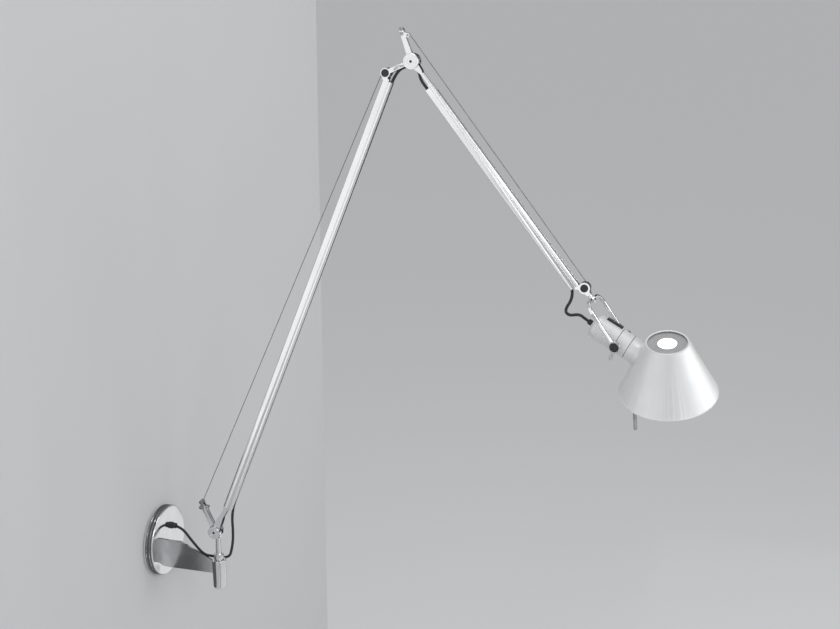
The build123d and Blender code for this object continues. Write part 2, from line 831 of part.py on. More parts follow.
def fork():
    """A flat bar bent into a stirrup, with a boss at its crown and eyes at its ends."""
    def ribbon(inset):
        half = fork_half - inset
        crown = fork_crown + inset
        corner = fork_corner - inset
        return Polyline(
            (-half, fork_length), (-half, crown + corner)
        ) + RadiusArc((-half, crown + corner), (-half + corner, crown), -corner) + Polyline(
            (-half + corner, crown), (half - corner, crown)
        ) + RadiusArc((half - corner, crown), (half, crown + corner), -corner) + Polyline(
            (half, crown + corner), (half, fork_length)
        )
    outer = make_face(ribbon(-fork_bar / 2) + Polyline(
        (fork_half + fork_bar / 2, fork_length), (-fork_half - fork_bar / 2, fork_length)
    ))
    inner = make_face(ribbon(fork_bar / 2) + Polyline(
        (fork_half - fork_bar / 2, fork_length), (-fork_half + fork_bar / 2, fork_length)
    ))
    bar = extrude(Plane.XZ * (outer - inner), fork_bar_width / 2, both=True)
    bar = chamfer(bar.edges().filter_by(Axis.Z), 0.6)
    crown_low = fork_crown - fork_bar / 2
    bar += disc(fork_boss_radius, crown_low, crown_low + fork_bar)
    for side in (-1, 1):
        at = Pos(side * (eye_inner + eye_outer) / 2, 0, fork_length) * Rot(0, 90, 0)
        bar += at * Cylinder(fork_eye_radius, fork_eye_thickness)
        bar -= at * Cylinder(pivot_radius + running_gap, fork_eye_thickness + 4)
        cup = Pos(side * (eye_outer - pivot_cap_depth / 2), 0, fork_length) * Rot(0, 90, 0)
        bar -= cup * Cylinder(pivot_cap_radius + seat_gap, pivot_cap_depth)
    return bar - disc(swivel_radius + running_gap, -10, 20)


def fork_lug():
    """The chrome stop under the near eye."""
    turn = Pos(-(eye_inner + 1.4), 0, fork_length) * Rot(0, 90, 0)
    end = (-lug_at[0], lug_at[1])
    bar = tapered_bar((0, 0), end, 9.0, 7.6, -1.4, 1.4)
    bar -= disc(2.2, -2, 2, end)
    bar -= disc(fork_eye_radius, -2, 2)
    return turn * bar


def pivot_caps():
    """The dark caps set in the fork's eyes."""
    caps = []
    depth = pivot_cap_depth + pivot_cap_proud
    for side in (-1, 1):
        middle = side * (eye_outer - pivot_cap_depth + depth / 2)
        cap = Pos(middle, 0, fork_length) * Rot(0, 90, 0) * Cylinder(pivot_cap_radius, depth)
        face = cap.edges().filter_by(GeomType.CIRCLE).sort_by(Axis.X)[-1 if side > 0 else 0]
        caps.append(chamfer(face, 0.6))
    return caps


def swivel_nut():
    """The hexagon nut that holds the fork on its pin."""
    low = fork_crown + fork_bar / 2 + side_gap
    nut = Pos(0, 0, low) * extrude(RegularPolygon(nut_radius, 6), nut_height)
    return nut - disc(swivel_radius + slip_gap, low - 1, low + nut_height + 1)


write("fork", placed(fork_plane, fork()))
write("fork_lug", placed(fork_plane, fork_lug()))
write("fork_caps", placed(fork_plane, Compound(pivot_caps())))
write("swivel_nut", placed(fork_plane, swivel_nut()))


# ================================================================ lampholder
inner_radius = holder_radius - holder_wall
switch_place = Rot(0, 0, -switch_turn)
switch_length = switch_to - switch_from


def switch_box(side, end, low, high):
    """The switch's outline, grown at its sides and ends, between two radii."""
    return switch_place * block(
        (-switch_width / 2 - side, switch_width / 2 + side),
        (low, high),
        (switch_from - end, switch_to + end),
    )


def switch_pivot(grow, reach):
    """The round pin that the rocker turns on."""
    middle = (switch_from + switch_to) / 2
    level = holder_radius + switch_proud - switch_pivot_drop
    pin = Rot(0, 90, 0) * Cylinder(switch_pivot_radius + grow, 2 * reach)
    return switch_place * Pos(0, level, middle) * pin


def holder_rear_shell():
    """The rear cup with its rounded end and the switch's window."""
    outer = disc(holder_radius, holder_rear, seam_rear - seam_gap / 2)
    outer = fillet(outer.edges().group_by(Axis.Z)[0], holder_round)
    inner = disc(inner_radius, holder_rear + holder_wall, seam_rear + 1)
    inner = fillet(inner.edges().group_by(Axis.Z)[0], holder_round - holder_wall)
    shell = outer - inner
    shell -= disc(holder_grommet_radius - 1.4, holder_rear - 1, holder_rear + 5)
    shell -= Rot(0, 90, 0) * Cylinder(boss_radius + seam_gap, 3 * holder_radius)
    shell -= switch_pivot(slip_gap, switch_pivot_reach + seat_gap)
    return shell - switch_box(side_gap, switch_end_gap, 0, holder_radius + 10)


def holder_front_shell():
    """The front band with the pivot bosses."""
    low = seam_rear + seam_gap / 2
    high = seam_front - seam_gap / 2
    shell = disc(holder_radius, low, high)
    for side in (-1, 1):
        reach = eye_inner - side_gap - inner_radius
        middle = side * (inner_radius + reach / 2)
        shell += Pos(middle, 0, 0) * Rot(0, 90, 0) * Cylinder(boss_radius, reach)
    shell -= disc(inner_radius, low - 4, high + 1)
    step = disc(inner_radius - seat_gap, low - 2.5, low + 2)
    step += disc(inner_radius + 0.5, low + 0.2, low + 2)
    shell += step - disc(inner_radius - 1.3, low - 3, low + 3)
    for side in (-1, 1):
        shell -= Pos(side * holder_radius, 0, 0) * Rot(0, 90, 0) * Cylinder(pivot_radius, 20)
    return shell


def pivot_screws():
    """The screws that the fork's eyes turn on."""
    screws = []
    end = eye_outer - pivot_cap_depth - side_gap
    for side in (-1, 1):
        length = end - inner_radius - 0.5
        middle = side * (end - length / 2)
        screws.append(Pos(middle, 0, 0) * Rot(0, 90, 0) * Cylinder(pivot_radius, length))
    return screws


def holder_grommet():
    """The cable's strain relief on the rear cup."""
    low = holder_rear - holder_grommet_length
    body = disc(holder_grommet_radius, low, holder_rear)
    body = fillet(body.edges().group_by(Axis.Z)[0], 1.2)
    body += disc(holder_grommet_radius - 1.5, holder_rear - 1, holder_rear + 4)
    return body - disc(cable_radius + seat_gap, low - 1, holder_rear + 5)


def switch_rocker():
    """The rocker, with three grip ribs."""
    top = holder_radius + switch_proud
    rocker = switch_box(0, 0, top - switch_depth, top)
    rocker = fillet(rocker.edges().group_by(Axis((0, 0, 0), (
        math.sin(math.radians(switch_turn)), math.cos(math.radians(switch_turn)), 0
    )))[-1], 0.8)
    for place in (0.18, 0.5, 0.82):
        z = switch_from + switch_length * place
        rocker -= switch_place * block((-switch_width / 2 + 2, switch_width / 2 - 2),
                                       (top - 0.5, top + 1), (z - 0.6, z + 0.6))
    return rocker - switch_pivot(running_gap, switch_width)


def switch_frame():
    """The fixed body under the rocker, and the rocker's pin, held by the rear cup."""
    top = holder_radius + switch_proud - switch_depth - 2.6
    body = switch_place * block(
        (-holder_radius, holder_radius), (top - 6, top),
        (switch_from - 1, switch_to + 1),
    )
    inner = disc(inner_radius - 0.05, holder_rear + holder_round, seam_rear - 3)
    return Compound([body & inner, switch_pivot(0, switch_pivot_reach)])


def lampholder():
    """The screw-cap holder inside the head."""
    low = seam_rear + 4
    high = low + socket_length
    body = disc(socket_radius, low, high)
    body = chamfer(body.edges().group_by(Axis.Z)[0], 3)
    flange = disc(inner_radius - 0.05, low + 2, low + 6)
    body += flange
    return body - disc(bulb_neck_radius + 0.5, high - 28, high + 1)


def bulb():
    """A frosted bulb, its screw cap in the lampholder."""
    cap_low = seam_rear + 4 + socket_length - 27.5
    neck_z = bulb_centre - math.sqrt(bulb_radius ** 2 - (bulb_neck_radius + 3) ** 2)
    profile = make_face(
        Polyline(
            (0, cap_low), (bulb_neck_radius, cap_low), (bulb_neck_radius, cap_low + 27),
            (bulb_neck_radius + 3, neck_z),
        )
        + ThreePointArc(
            (bulb_neck_radius + 3, neck_z), (bulb_radius, bulb_centre),
            (0, bulb_centre + bulb_radius),
        )
        + Polyline((0, bulb_centre + bulb_radius), (0, cap_low))
    )
    return revolve(Plane.XZ * profile, Axis.Z)


write("holder_rear", placed(head_plane, holder_rear_shell()))
write("holder_front", placed(head_plane, holder_front_shell()))
write("pivot_screws", placed(head_plane, Compound(pivot_screws())))
write("holder_grommet", placed(head_plane, holder_grommet()))
write("switch_rocker", placed(head_plane, switch_rocker()))
write("switch_frame", placed(head_plane, switch_frame()))
write("lampholder", placed(head_plane, lampholder()))
write("bulb", placed(head_plane, bulb()))


# ================================================================ shade
def cone(offset, rise, drop):
    """The shade's cone moved outwards by offset, run past its edges."""
    slope = math.tan(flare)
    shift = offset / math.cos(flare)
    top = shade_top_radius + shift - rise * slope
    rim = shade_rim_radius + shift + drop * slope
    height = shade_height + rise + drop
    return Pos(0, 0, rise - height) * Cone(
        rim, top, height, align=(Align.CENTER, Align.CENTER, Align.MIN)
    )


neck_hole = bulb_neck_radius + 7.5


def shade():
    """The spun cone, with a rolled rim, a top ledge and the neck's hole."""
    wall = cone(0, 0, 0) - cone(-shade_wall, 1, 1)
    bead = Pos(0, 0, -shade_height + 0.6) * Torus(shade_rim_radius - 0.9, 1.0)
    ledge_top = -top_recess - top_plate
    ledge = disc(shade_top_radius + 3, ledge_top - 1.2, ledge_top)
    ledge &= cone(-shade_wall / 2, 1, 1)
    ledge -= disc(shade_top_radius - 5, ledge_top - 3, ledge_top + 1)
    hole = shade_seat.location * disc(neck_hole, shade_at - 10, shade_at + 40)
    body = placed(shade_plane, join(wall, bead, ledge))
    return body - hole


def shade_neck():
    """The collar between lampholder and cone, flanged to the cone's wall."""
    low = seam_front + seam_gap / 2
    body = disc(holder_radius, low, shade_at + 12)
    body += disc(neck_flange_radius, shade_at - neck_flange, shade_at + 12)
    body -= disc(neck_hole, low - 1, shade_at + 20)
    return shade_seat.location * body - placed(shade_plane, cone(slip_gap, 30, 10))


def top_plate_ring():
    """The recessed ring in the shade's top."""
    ring = disc(shade_top_radius + 3, -top_recess - top_plate, -top_recess)
    ring &= cone(-shade_wall - seat_gap, 1, 1)
    return ring - disc(lens_radius + seat_gap, -20, 1)


def top_lens():
    """The frosted lens in the ring, with a flange behind it."""
    low = -top_recess - top_plate
    lens = disc(lens_radius, low, -top_recess + 0.6)
    lens = fillet(lens.edges().group_by(Axis.Z)[-1], 0.5)
    return lens + disc(lens_radius + 2.4, low - 1.6, low)


def handle_place():
    """The rod's foot: below the wall, a little round from the neck."""
    return Rot(0, 0, 90 + rod_angle) * Pos(shade_rim_radius - rod_inset, 0, 0)


def handle_rod():
    """The rod that the shade is turned by."""
    low = -shade_height - rod_below
    rod = disc(rod_radius, low, -shade_height + rod_above + 6)
    rod = fillet(rod.edges().group_by(Axis.Z)[0], rod_radius - 0.4)
    rod = handle_place() * rod
    return rod & cone(-shade_wall - slip_gap, 1, 60)


write("shade", shade())
write("shade_neck", shade_neck())
write("shade_top_ring", placed(shade_plane, top_plate_ring()))
write("top_lens", placed(shade_plane, top_lens()))
write("handle_rod", placed(shade_plane, handle_rod()))


# ================================================================ cable
def cord(name, points):
    """A round cable: straight runs joined by tangent arcs."""
    points = [Vector(*point) for point in points]
    radii = []
    for before, here, after in zip(points, points[1:], points[2:]):
        turn = math.radians((here - before).get_angle(after - here))
        shorter = min((here - before).length, (after - here).length)
        radii.append(0.45 * shorter / math.tan(turn / 2))
    path = FilletPolyline(*points, radius=radii)
    solid = tube_along(path, tuple(points[0]), tuple(points[1]), cable_radius)
    plain = math.pi * cable_radius ** 2 * path.length
    print(name, "bends", [round(r) for r in radii], "length", round(path.length, 1),
          "volume share", round(solid.volume / plain, 4))
    write(name, solid)


def straight_cable(plane, start, end, centre_v):
    """The cable where it lies in an arm's slot."""
    run = Pos(start, centre_v, 0) * Rot(0, 90, 0)
    return placed(plane, run * Cylinder(
        cable_radius, end - start, align=(Align.CENTER, Align.CENTER, Align.MIN)
    ))


lower_cable_v = lower_tube_v - tube_depth / 2 + slot_depth - cable_radius - side_gap
upper_cable_v = upper_tube_v - tube_depth / 2 + upper_slot_depth - cable_radius - side_gap
lower_slot = (lower_tube_start + 24, lower_tube_end - 12)
upper_slot = (upper_tube_start + 14, upper_tube_end - 20)
write("cable_lower", straight_cable(
    lower_plane, lower_slot[0] + cord_gap, lower_slot[1], lower_cable_v
))
write("cable_upper", straight_cable(
    upper_plane, upper_slot[0] + cord_gap, upper_slot[1], upper_cable_v
))


def on(plane, *point):
    """A local point in the lamp's frame, as numbers."""
    return tuple(plane.from_local_coords(Vector(*point)))


wall_end = cover_front + grommet_length
clip_point = (clip_x, clip_y, clip_z)
cord("cable_wall", [
    (cover_front + 2, grommet_y, grommet_z),
    (wall_end + 10, grommet_y, grommet_z),
    (68, 13, -2),
    (92, 17, clip_z + 2),
    (112, clip_y, clip_z),
    clip_point,
])
cord("cable_base", [
    clip_point,
    (149, clip_y, clip_z),
    (163, 7, -5),
    (170, 1, 30),
    on(lower_plane, lower_tube_start - 8, lower_cable_v - 2.5, 0),
    on(lower_plane, lower_slot[0], lower_cable_v, 0),
])
cord("cable_elbow", [
    on(lower_plane, lower_slot[1], lower_cable_v, 0),
    on(lower_plane, lower_tube_end + 18, lower_cable_v, 0),
    on(elbow_plane, -12.1, -7.6, 0),
    on(elbow_plane, 11.9, -13.6, 0),
    on(upper_plane, upper_tube_start - 16, upper_cable_v - 5, 0),
    on(upper_plane, upper_slot[0], upper_cable_v, 0),
])
cord("cable_tip", [
    on(upper_plane, upper_slot[1], upper_cable_v, 0),
    on(upper_plane, upper_tube_end + 8, upper_cable_v, 0),
    on(tip_plane, 10.0, -41.5, 1),
])
cord("cable_head", [
    on(tip_plane, 10.3, -42.35, 1),
    on(tip_plane, 15.6, -55.3, 2),
    on(tip_plane, 28.6, -53.4, 4),
    on(tip_plane, 36.2, -35.5, 1),
    on(head_plane, 0, 0, holder_rear - holder_grommet_length - 6),
    on(head_plane, 0, 0, holder_rear),
])
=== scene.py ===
import json
import math

import bmesh
import bpy
from mathutils import Matrix, Vector


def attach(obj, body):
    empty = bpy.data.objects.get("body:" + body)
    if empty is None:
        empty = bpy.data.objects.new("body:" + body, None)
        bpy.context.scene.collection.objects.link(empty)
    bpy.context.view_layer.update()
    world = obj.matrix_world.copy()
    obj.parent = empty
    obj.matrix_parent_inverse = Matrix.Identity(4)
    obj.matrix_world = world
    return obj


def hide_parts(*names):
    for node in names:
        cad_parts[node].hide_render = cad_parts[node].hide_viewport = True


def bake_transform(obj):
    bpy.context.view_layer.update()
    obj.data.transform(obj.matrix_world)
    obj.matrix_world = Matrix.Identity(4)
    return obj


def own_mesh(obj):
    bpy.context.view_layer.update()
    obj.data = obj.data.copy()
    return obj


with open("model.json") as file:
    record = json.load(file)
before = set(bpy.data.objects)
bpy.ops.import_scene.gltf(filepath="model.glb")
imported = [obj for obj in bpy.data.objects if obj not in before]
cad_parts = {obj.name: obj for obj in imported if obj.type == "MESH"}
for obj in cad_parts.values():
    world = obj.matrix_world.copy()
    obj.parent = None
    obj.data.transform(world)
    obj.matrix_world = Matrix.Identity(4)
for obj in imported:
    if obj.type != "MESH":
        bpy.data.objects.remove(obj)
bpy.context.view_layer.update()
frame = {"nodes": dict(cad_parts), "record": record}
print("frame loaded:", len(frame["nodes"]), "nodes")

mm = 0.001
record = frame["record"]
slotOf = {part["node"]: part["material_slot"] for part in record["subparts"]}
bodyOf = {node: body for body, nodes in record["behaviour"]["bodies"].items() for node in nodes}


def localFrame(origin, xDir, zDir):
    # a place on the lamp as a matrix, its origin in millimetres
    x, z = Vector(xDir).normalized(), Vector(zDir).normalized()
    y = z.cross(x)
    turn = Matrix((x, y, z)).transposed().to_4x4()
    return Matrix.Translation(Vector(origin) * mm) @ turn @ Matrix.Scale(mm, 4)


# local frames of the lamp, in millimetres: an arm's X runs along it and its Y towards its wire,
# a joint's Z runs along its pin, and the head's and the shade's Z is their round forms' centre line
lowerArm = localFrame((130.6, 0, 33.9), (0.372988, 0, 0.927836), (0, -1, 0))
upperArm = localFrame((561.118, 0, 1005.647), (0.616349, 0, -0.787473), (0, -1, 0))
baseJoint = localFrame((130.6, 0, 33.9), (1, 0, 0), (0, -1, 0))
elbowJoint = localFrame((561.118, 0, 1005.647), (1, 0, 0), (0, -1, 0))
headFrame = localFrame(
    (956.438, 0, 510.407), (0.165931, 0.979223, 0.116575), (0.880552, -0.093907, -0.464553)
)
shadeFrame = localFrame(
    (1044.841, -30.739, 523.317), (0.267995, 0.907084, 0.324618), (-0.021859, -0.331131, 0.943331)
)


# the camera
cameraSettings = {
    "place": (1.28227, -2.33313, 1.15067),
    "turn": 16.8485,
    "down": 14.2301,
    "lens": 56.753,
    "sensor": 36,
    "clip": (0.05, 900),
}


def placeCamera(settings):
    camera = bpy.data.objects.new("photoCamera", bpy.data.cameras.new("photoCamera"))
    bpy.context.scene.collection.objects.link(camera)
    camera.data.lens = settings["lens"]
    camera.data.sensor_width = settings["sensor"]
    camera.data.clip_start, camera.data.clip_end = settings["clip"]
    camera.location = settings["place"]
    camera.rotation_euler = (math.radians(90 - settings["down"]), 0, math.radians(settings["turn"]))
    bpy.context.scene.camera = camera


placeCamera(cameraSettings)
print("camera placed")


# shader groups shared by the finishes
def startGroup(name, inputs, outputs):
    group = bpy.data.node_groups.new(name, "ShaderNodeTree")
    for label, kind, value in inputs:
        socket = group.interface.new_socket(label, in_out="INPUT", socket_type=kind)
        if value is not None:
            socket.default_value = value
    for label, kind in outputs:
        group.interface.new_socket(label, in_out="OUTPUT", socket_type=kind)
    enter = group.nodes.new("NodeGroupInput")
    leave = group.nodes.new("NodeGroupOutput")
    enter.location, leave.location = (-600, 0), (600, 0)
    return group, enter, leave


def makeHandlingGroup():
    # soft cloudy patches where hands and cloths have dulled a surface
    group, enter, leave = startGroup(
        "handling",
        [
            ("Vector", "NodeSocketVector", None),
            ("Patch Scale", "NodeSocketFloat", 20.0),
            ("Clean Roughness", "NodeSocketFloat", 0.1),
            ("Dull Roughness", "NodeSocketFloat", 0.2),
            ("Clean Colour", "NodeSocketColor", (0.8, 0.8, 0.8, 1)),
            ("Dull Colour", "NodeSocketColor", (0.7, 0.7, 0.7, 1)),
        ],
        [("Colour", "NodeSocketColor"), ("Roughness", "NodeSocketFloat")],
    )
    nodes, links = group.nodes, group.links
    broad = nodes.new("ShaderNodeTexNoise")
    broad.inputs["Detail"].default_value = 5
    broad.inputs["Roughness"].default_value = 0.6
    spread = nodes.new("ShaderNodeMapRange")
    spread.interpolation_type = "SMOOTHSTEP"
    spread.inputs["From Min"].default_value = 0.36
    spread.inputs["From Max"].default_value = 0.66
    links.new(enter.outputs["Vector"], broad.inputs["Vector"])
    links.new(enter.outputs["Patch Scale"], broad.inputs["Scale"])
    links.new(broad.outputs["Fac"], spread.inputs["Value"])
    dull = nodes.new("ShaderNodeMapRange")
    links.new(spread.outputs["Result"], dull.inputs["Value"])
    links.new(enter.outputs["Clean Roughness"], dull.inputs["To Min"])
    links.new(enter.outputs["Dull Roughness"], dull.inputs["To Max"])
    tone = nodes.new("ShaderNodeMix")
    tone.data_type = "RGBA"
    links.new(spread.outputs["Result"], tone.inputs["Factor"])
    links.new(enter.outputs["Clean Colour"], tone.inputs["A"])
    links.new(enter.outputs["Dull Colour"], tone.inputs["B"])
    links.new(tone.outputs["Result"], leave.inputs["Colour"])
    links.new(dull.outputs["Result"], leave.inputs["Roughness"])
    return group


def makeGrainGroup():
    # drawn or cast grain: noise stretched along the way the metal was worked
    group, enter, leave = startGroup(
        "grain",
        [
            ("Vector", "NodeSocketVector", None),
            ("Grain Scale", "NodeSocketFloat", 800.0),
            ("Stretch", "NodeSocketVector", (1, 1, 1)),
        ],
        [("Height", "NodeSocketFloat")],
    )
    nodes, links = group.nodes, group.links
    pull = nodes.new("ShaderNodeVectorMath")
    pull.operation = "MULTIPLY"
    noise = nodes.new("ShaderNodeTexNoise")
    noise.inputs["Detail"].default_value = 3
    links.new(enter.outputs["Vector"], pull.inputs[0])
    links.new(enter.outputs["Stretch"], pull.inputs[1])
    links.new(pull.outputs["Vector"], noise.inputs["Vector"])
    links.new(enter.outputs["Grain Scale"], noise.inputs["Scale"])
    links.new(noise.outputs["Fac"], leave.inputs["Height"])
    return group


def makeSpunGroup():
    # fine turned rings round the local Z axis, as on a spun or turned piece
    group, enter, leave = startGroup(
        "spun",
        [
            ("Vector", "NodeSocketVector", None),
            ("Ring Scale", "NodeSocketFloat", 900.0),
        ],
        [("Height", "NodeSocketFloat")],
    )
    nodes, links = group.nodes, group.links
    split = nodes.new("ShaderNodeSeparateXYZ")
    flat = nodes.new("ShaderNodeCombineXYZ")
    reach = nodes.new("ShaderNodeVectorMath")
    reach.operation = "LENGTH"
    pair = nodes.new("ShaderNodeCombineXYZ")
    noise = nodes.new("ShaderNodeTexNoise")
    noise.noise_dimensions = "2D"
    noise.inputs["Detail"].default_value = 2
    links.new(enter.outputs["Vector"], split.inputs["Vector"])
    links.new(split.outputs["X"], flat.inputs["X"])
    links.new(split.outputs["Y"], flat.inputs["Y"])
    links.new(flat.outputs["Vector"], reach.inputs[0])
    links.new(reach.outputs["Value"], pair.inputs["X"])
    links.new(split.outputs["Z"], pair.inputs["Y"])
    links.new(pair.outputs["Vector"], noise.inputs["Vector"])
    links.new(enter.outputs["Ring Scale"], noise.inputs["Scale"])
    links.new(noise.outputs["Fac"], leave.inputs["Height"])
    return group


handling = makeHandlingGroup()
grain = makeGrainGroup()
spun = makeSpunGroup()


# finishes
def makeFinish(name, look):
    material = bpy.data.materials.new(name)
    material.use_nodes = True
    nodes, links = material.node_tree.nodes, material.node_tree.links
    skin = nodes["Principled BSDF"]
    coords = nodes.new("ShaderNodeTexCoord")
    place = nodes.new("ShaderNodeMapping")
    place.vector_type = "POINT"
    perUnit = 1
    if "around" in look:
        # the pattern's own axes: the Mapping node undoes the piece's place
        undo = look["around"].inverted()
        place.inputs["Location"].default_value = undo.to_translation()
        place.inputs["Rotation"].default_value = undo.to_euler()
        place.inputs["Scale"].default_value = undo.to_scale()
        perUnit = undo.to_scale()[0]
    links.new(coords.outputs["Object"], place.inputs["Vector"])
    worn = nodes.new("ShaderNodeGroup")
    worn.node_tree = handling
    worn.inputs["Patch Scale"].default_value = look["patches"] / perUnit
    worn.inputs["Clean Roughness"].default_value = look["rough"][0]
    worn.inputs["Dull Roughness"].default_value = look["rough"][1]
    worn.inputs["Clean Colour"].default_value = (*look["colour"], 1)
    worn.inputs["Dull Colour"].default_value = (*look["dulled"], 1)
    links.new(place.outputs["Vector"], worn.inputs["Vector"])
    links.new(worn.outputs["Colour"], skin.inputs["Base Color"])
    links.new(worn.outputs["Roughness"], skin.inputs["Roughness"])
    skin.inputs["Metallic"].default_value = look["metal"]
    lines = nodes.new("ShaderNodeGroup")
    lines.node_tree = spun if "rings" in look else grain
    if "rings" in look:
        lines.inputs["Ring Scale"].default_value = look["rings"] / perUnit
    else:
        lines.inputs["Grain Scale"].default_value = look["grain"] / perUnit
        lines.inputs["Stretch"].default_value = look.get("stretch", (1, 1, 1))
    links.new(place.outputs["Vector"], lines.inputs["Vector"])
    bump = nodes.new("ShaderNodeBump")
    bump.inputs["Strength"].default_value = look["relief"][0]
    bump.inputs["Distance"].default_value = look["relief"][1] * mm
    links.new(lines.outputs["Height"], bump.inputs["Height"])
    links.new(bump.outputs["Normal"], skin.inputs["Normal"])
    if "glow" in look:
        skin.inputs["Emission Color"].default_value = (*look["colour"], 1)
        skin.inputs["Emission Strength"].default_value = look["glow"]
    return material


# rough and relief hold (clean, dulled) and (strength, height in millimetres); patches, grain and
# rings are noise scales per metre
looks = {
    "polished": {
        "colour": (0.80, 0.805, 0.815), "dulled": (0.77, 0.775, 0.785), "metal": 1.0,
        "rough": (0.05, 0.12), "patches": 26, "grain": 700, "relief": (0.03, 0.02),
    },
    "turned": {
        "colour": (0.80, 0.805, 0.815), "dulled": (0.76, 0.765, 0.775), "metal": 1.0,
        "rough": (0.09, 0.17), "patches": 40, "grain": 900, "relief": (0.05, 0.02),
    },
    "steel": {
        "colour": (0.50, 0.51, 0.52), "dulled": (0.38, 0.39, 0.40), "metal": 1.0,
        "rough": (0.22, 0.36), "patches": 60, "grain": 1200, "relief": (0.08, 0.02),
    },
    "finSatin": {
        "colour": (0.66, 0.665, 0.675), "dulled": (0.63, 0.635, 0.645), "metal": 1.0,
        "rough": (0.20, 0.26), "patches": 34, "grain": 900, "relief": (0.05, 0.02),
    },
    "ropeSteel": {
        "colour": (0.30, 0.305, 0.31), "dulled": (0.22, 0.225, 0.23), "metal": 0.85,
        "rough": (0.42, 0.52), "patches": 60, "grain": 1200, "relief": (0.05, 0.02),
    },
    "lowerExtrusion": {
        "colour": (0.84, 0.845, 0.85), "dulled": (0.81, 0.815, 0.82), "metal": 1.0,
        "rough": (0.13, 0.22), "patches": 9, "around": lowerArm, "grain": 1500,
        "stretch": (0.02, 1, 1), "relief": (0.04, 0.015),
    },
    "upperExtrusion": {
        "colour": (0.84, 0.845, 0.85), "dulled": (0.81, 0.815, 0.82), "metal": 1.0,
        "rough": (0.13, 0.22), "patches": 9, "around": upperArm, "grain": 1500,
        "stretch": (0.02, 1, 1), "relief": (0.04, 0.015),
    },
    "spunSatin": {
        "colour": (0.81, 0.815, 0.82), "dulled": (0.79, 0.795, 0.80), "metal": 0.5,
        "rough": (0.46, 0.52), "patches": 16, "around": shadeFrame, "rings": 900,
        "relief": (0.08, 0.02),
    },
    "holderSatin": {
        "colour": (0.80, 0.805, 0.81), "dulled": (0.75, 0.755, 0.76), "metal": 0.5,
        "rough": (0.44, 0.50), "patches": 30, "around": headFrame, "rings": 900,
        "relief": (0.08, 0.02),
    },
    "ringSatin": {
        "colour": (0.52, 0.525, 0.53), "dulled": (0.46, 0.465, 0.47), "metal": 0.6,
        "rough": (0.42, 0.50), "patches": 40, "around": shadeFrame, "rings": 700,
        "relief": (0.3, 0.02),
    },
    "blackPlastic": {
        "colour": (0.018, 0.018, 0.019), "dulled": (0.028, 0.028, 0.030), "metal": 0.0,
        "rough": (0.30, 0.46), "patches": 60, "grain": 1800, "relief": (0.3, 0.03),
    },
    "cableJacket": {
        "colour": (0.014, 0.014, 0.015), "dulled": (0.024, 0.024, 0.025), "metal": 0.0,
        "rough": (0.38, 0.52), "patches": 50, "grain": 1400, "relief": (0.35, 0.04),
    },
    "bearing": {
        "colour": (0.75, 0.74, 0.70), "dulled": (0.66, 0.65, 0.61), "metal": 0.0,
        "rough": (0.40, 0.55), "patches": 60, "grain": 900, "relief": (0.2, 0.03),
    },
    "litLens": {
        "colour": (1.0, 0.995, 0.98), "dulled": (0.96, 0.955, 0.94), "metal": 0.0,
        "rough": (0.30, 0.38), "patches": 60, "grain": 2200, "relief": (0.2, 0.02), "glow": 1.3,
    },
    "bulbGlass": {
        "colour": (0.98, 0.975, 0.95), "dulled": (0.94, 0.935, 0.91), "metal": 0.0,
        "rough": (0.35, 0.45), "patches": 40, "grain": 1600, "relief": (0.15, 0.02), "glow": 0.9,
    },
}
finish = {name: makeFinish(name, look) for name, look in looks.items()}
slotFinish = {
    "polished": "polished", "steel": "steel", "arm_aluminium": "lowerExtrusion",
    "satin_aluminium": "holderSatin", "black": "blackPlastic", "cable": "cableJacket",
    "bearing": "bearing", "frosted": "litLens",
}
# nodes whose finish isn't their slot's own
nodeFinish = {
    "upper_tube": "upperExtrusion", "shade": "spunSatin", "shade_top_ring": "ringSatin",
    "bulb": "bulbGlass", "base_discs": "turned", "bracket_fin": "finSatin", "socket": "turned",
    "stem_collar": "turned", "handle_rod": "steel",
}
print("finishes made:", len(finish))


# making and settling pieces
def addPiece(name, mesh):
    piece = bpy.data.objects.new(name, mesh)
    bpy.context.scene.collection.objects.link(piece)
    return piece


def frozenMesh(piece):
    bpy.context.view_layer.update()
    graph = bpy.context.evaluated_depsgraph_get()
    return bpy.data.meshes.new_from_object(piece.evaluated_get(graph))


def settle(piece):
    # modifiers become plain mesh, and the modifiers go
    mesh = frozenMesh(piece)
    piece.modifiers.clear()
    piece.data = mesh
    mesh.name = piece.name


def smoothBy(mesh, angle):
    mesh.polygons.foreach_set("use_smooth", [True] * len(mesh.polygons))
    mesh.set_sharp_from_angle(angle=math.radians(angle))


def dress(piece, finishName, node=None, body=None):
    piece.data.materials.clear()
    piece.data.materials.append(finish[finishName])
    if node:
        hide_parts(node)
        body = bodyOf[node]
    if body:
        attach(piece, body)


def pieceName(node):
    # lower_tube becomes lowerTube, and a single word gets Body after it
    words = node.split("_")
    return words[0] + "".join(word.capitalize() for word in words[1:] or ["body"])


# how a node's copy is welded, flattened, smoothed and bevelled, in millimetres and degrees
edging = {"weld": 0.004, "flatAngle": 0.4, "smoothAngle": 35, "bevelAngle": 38, "segments": 2}


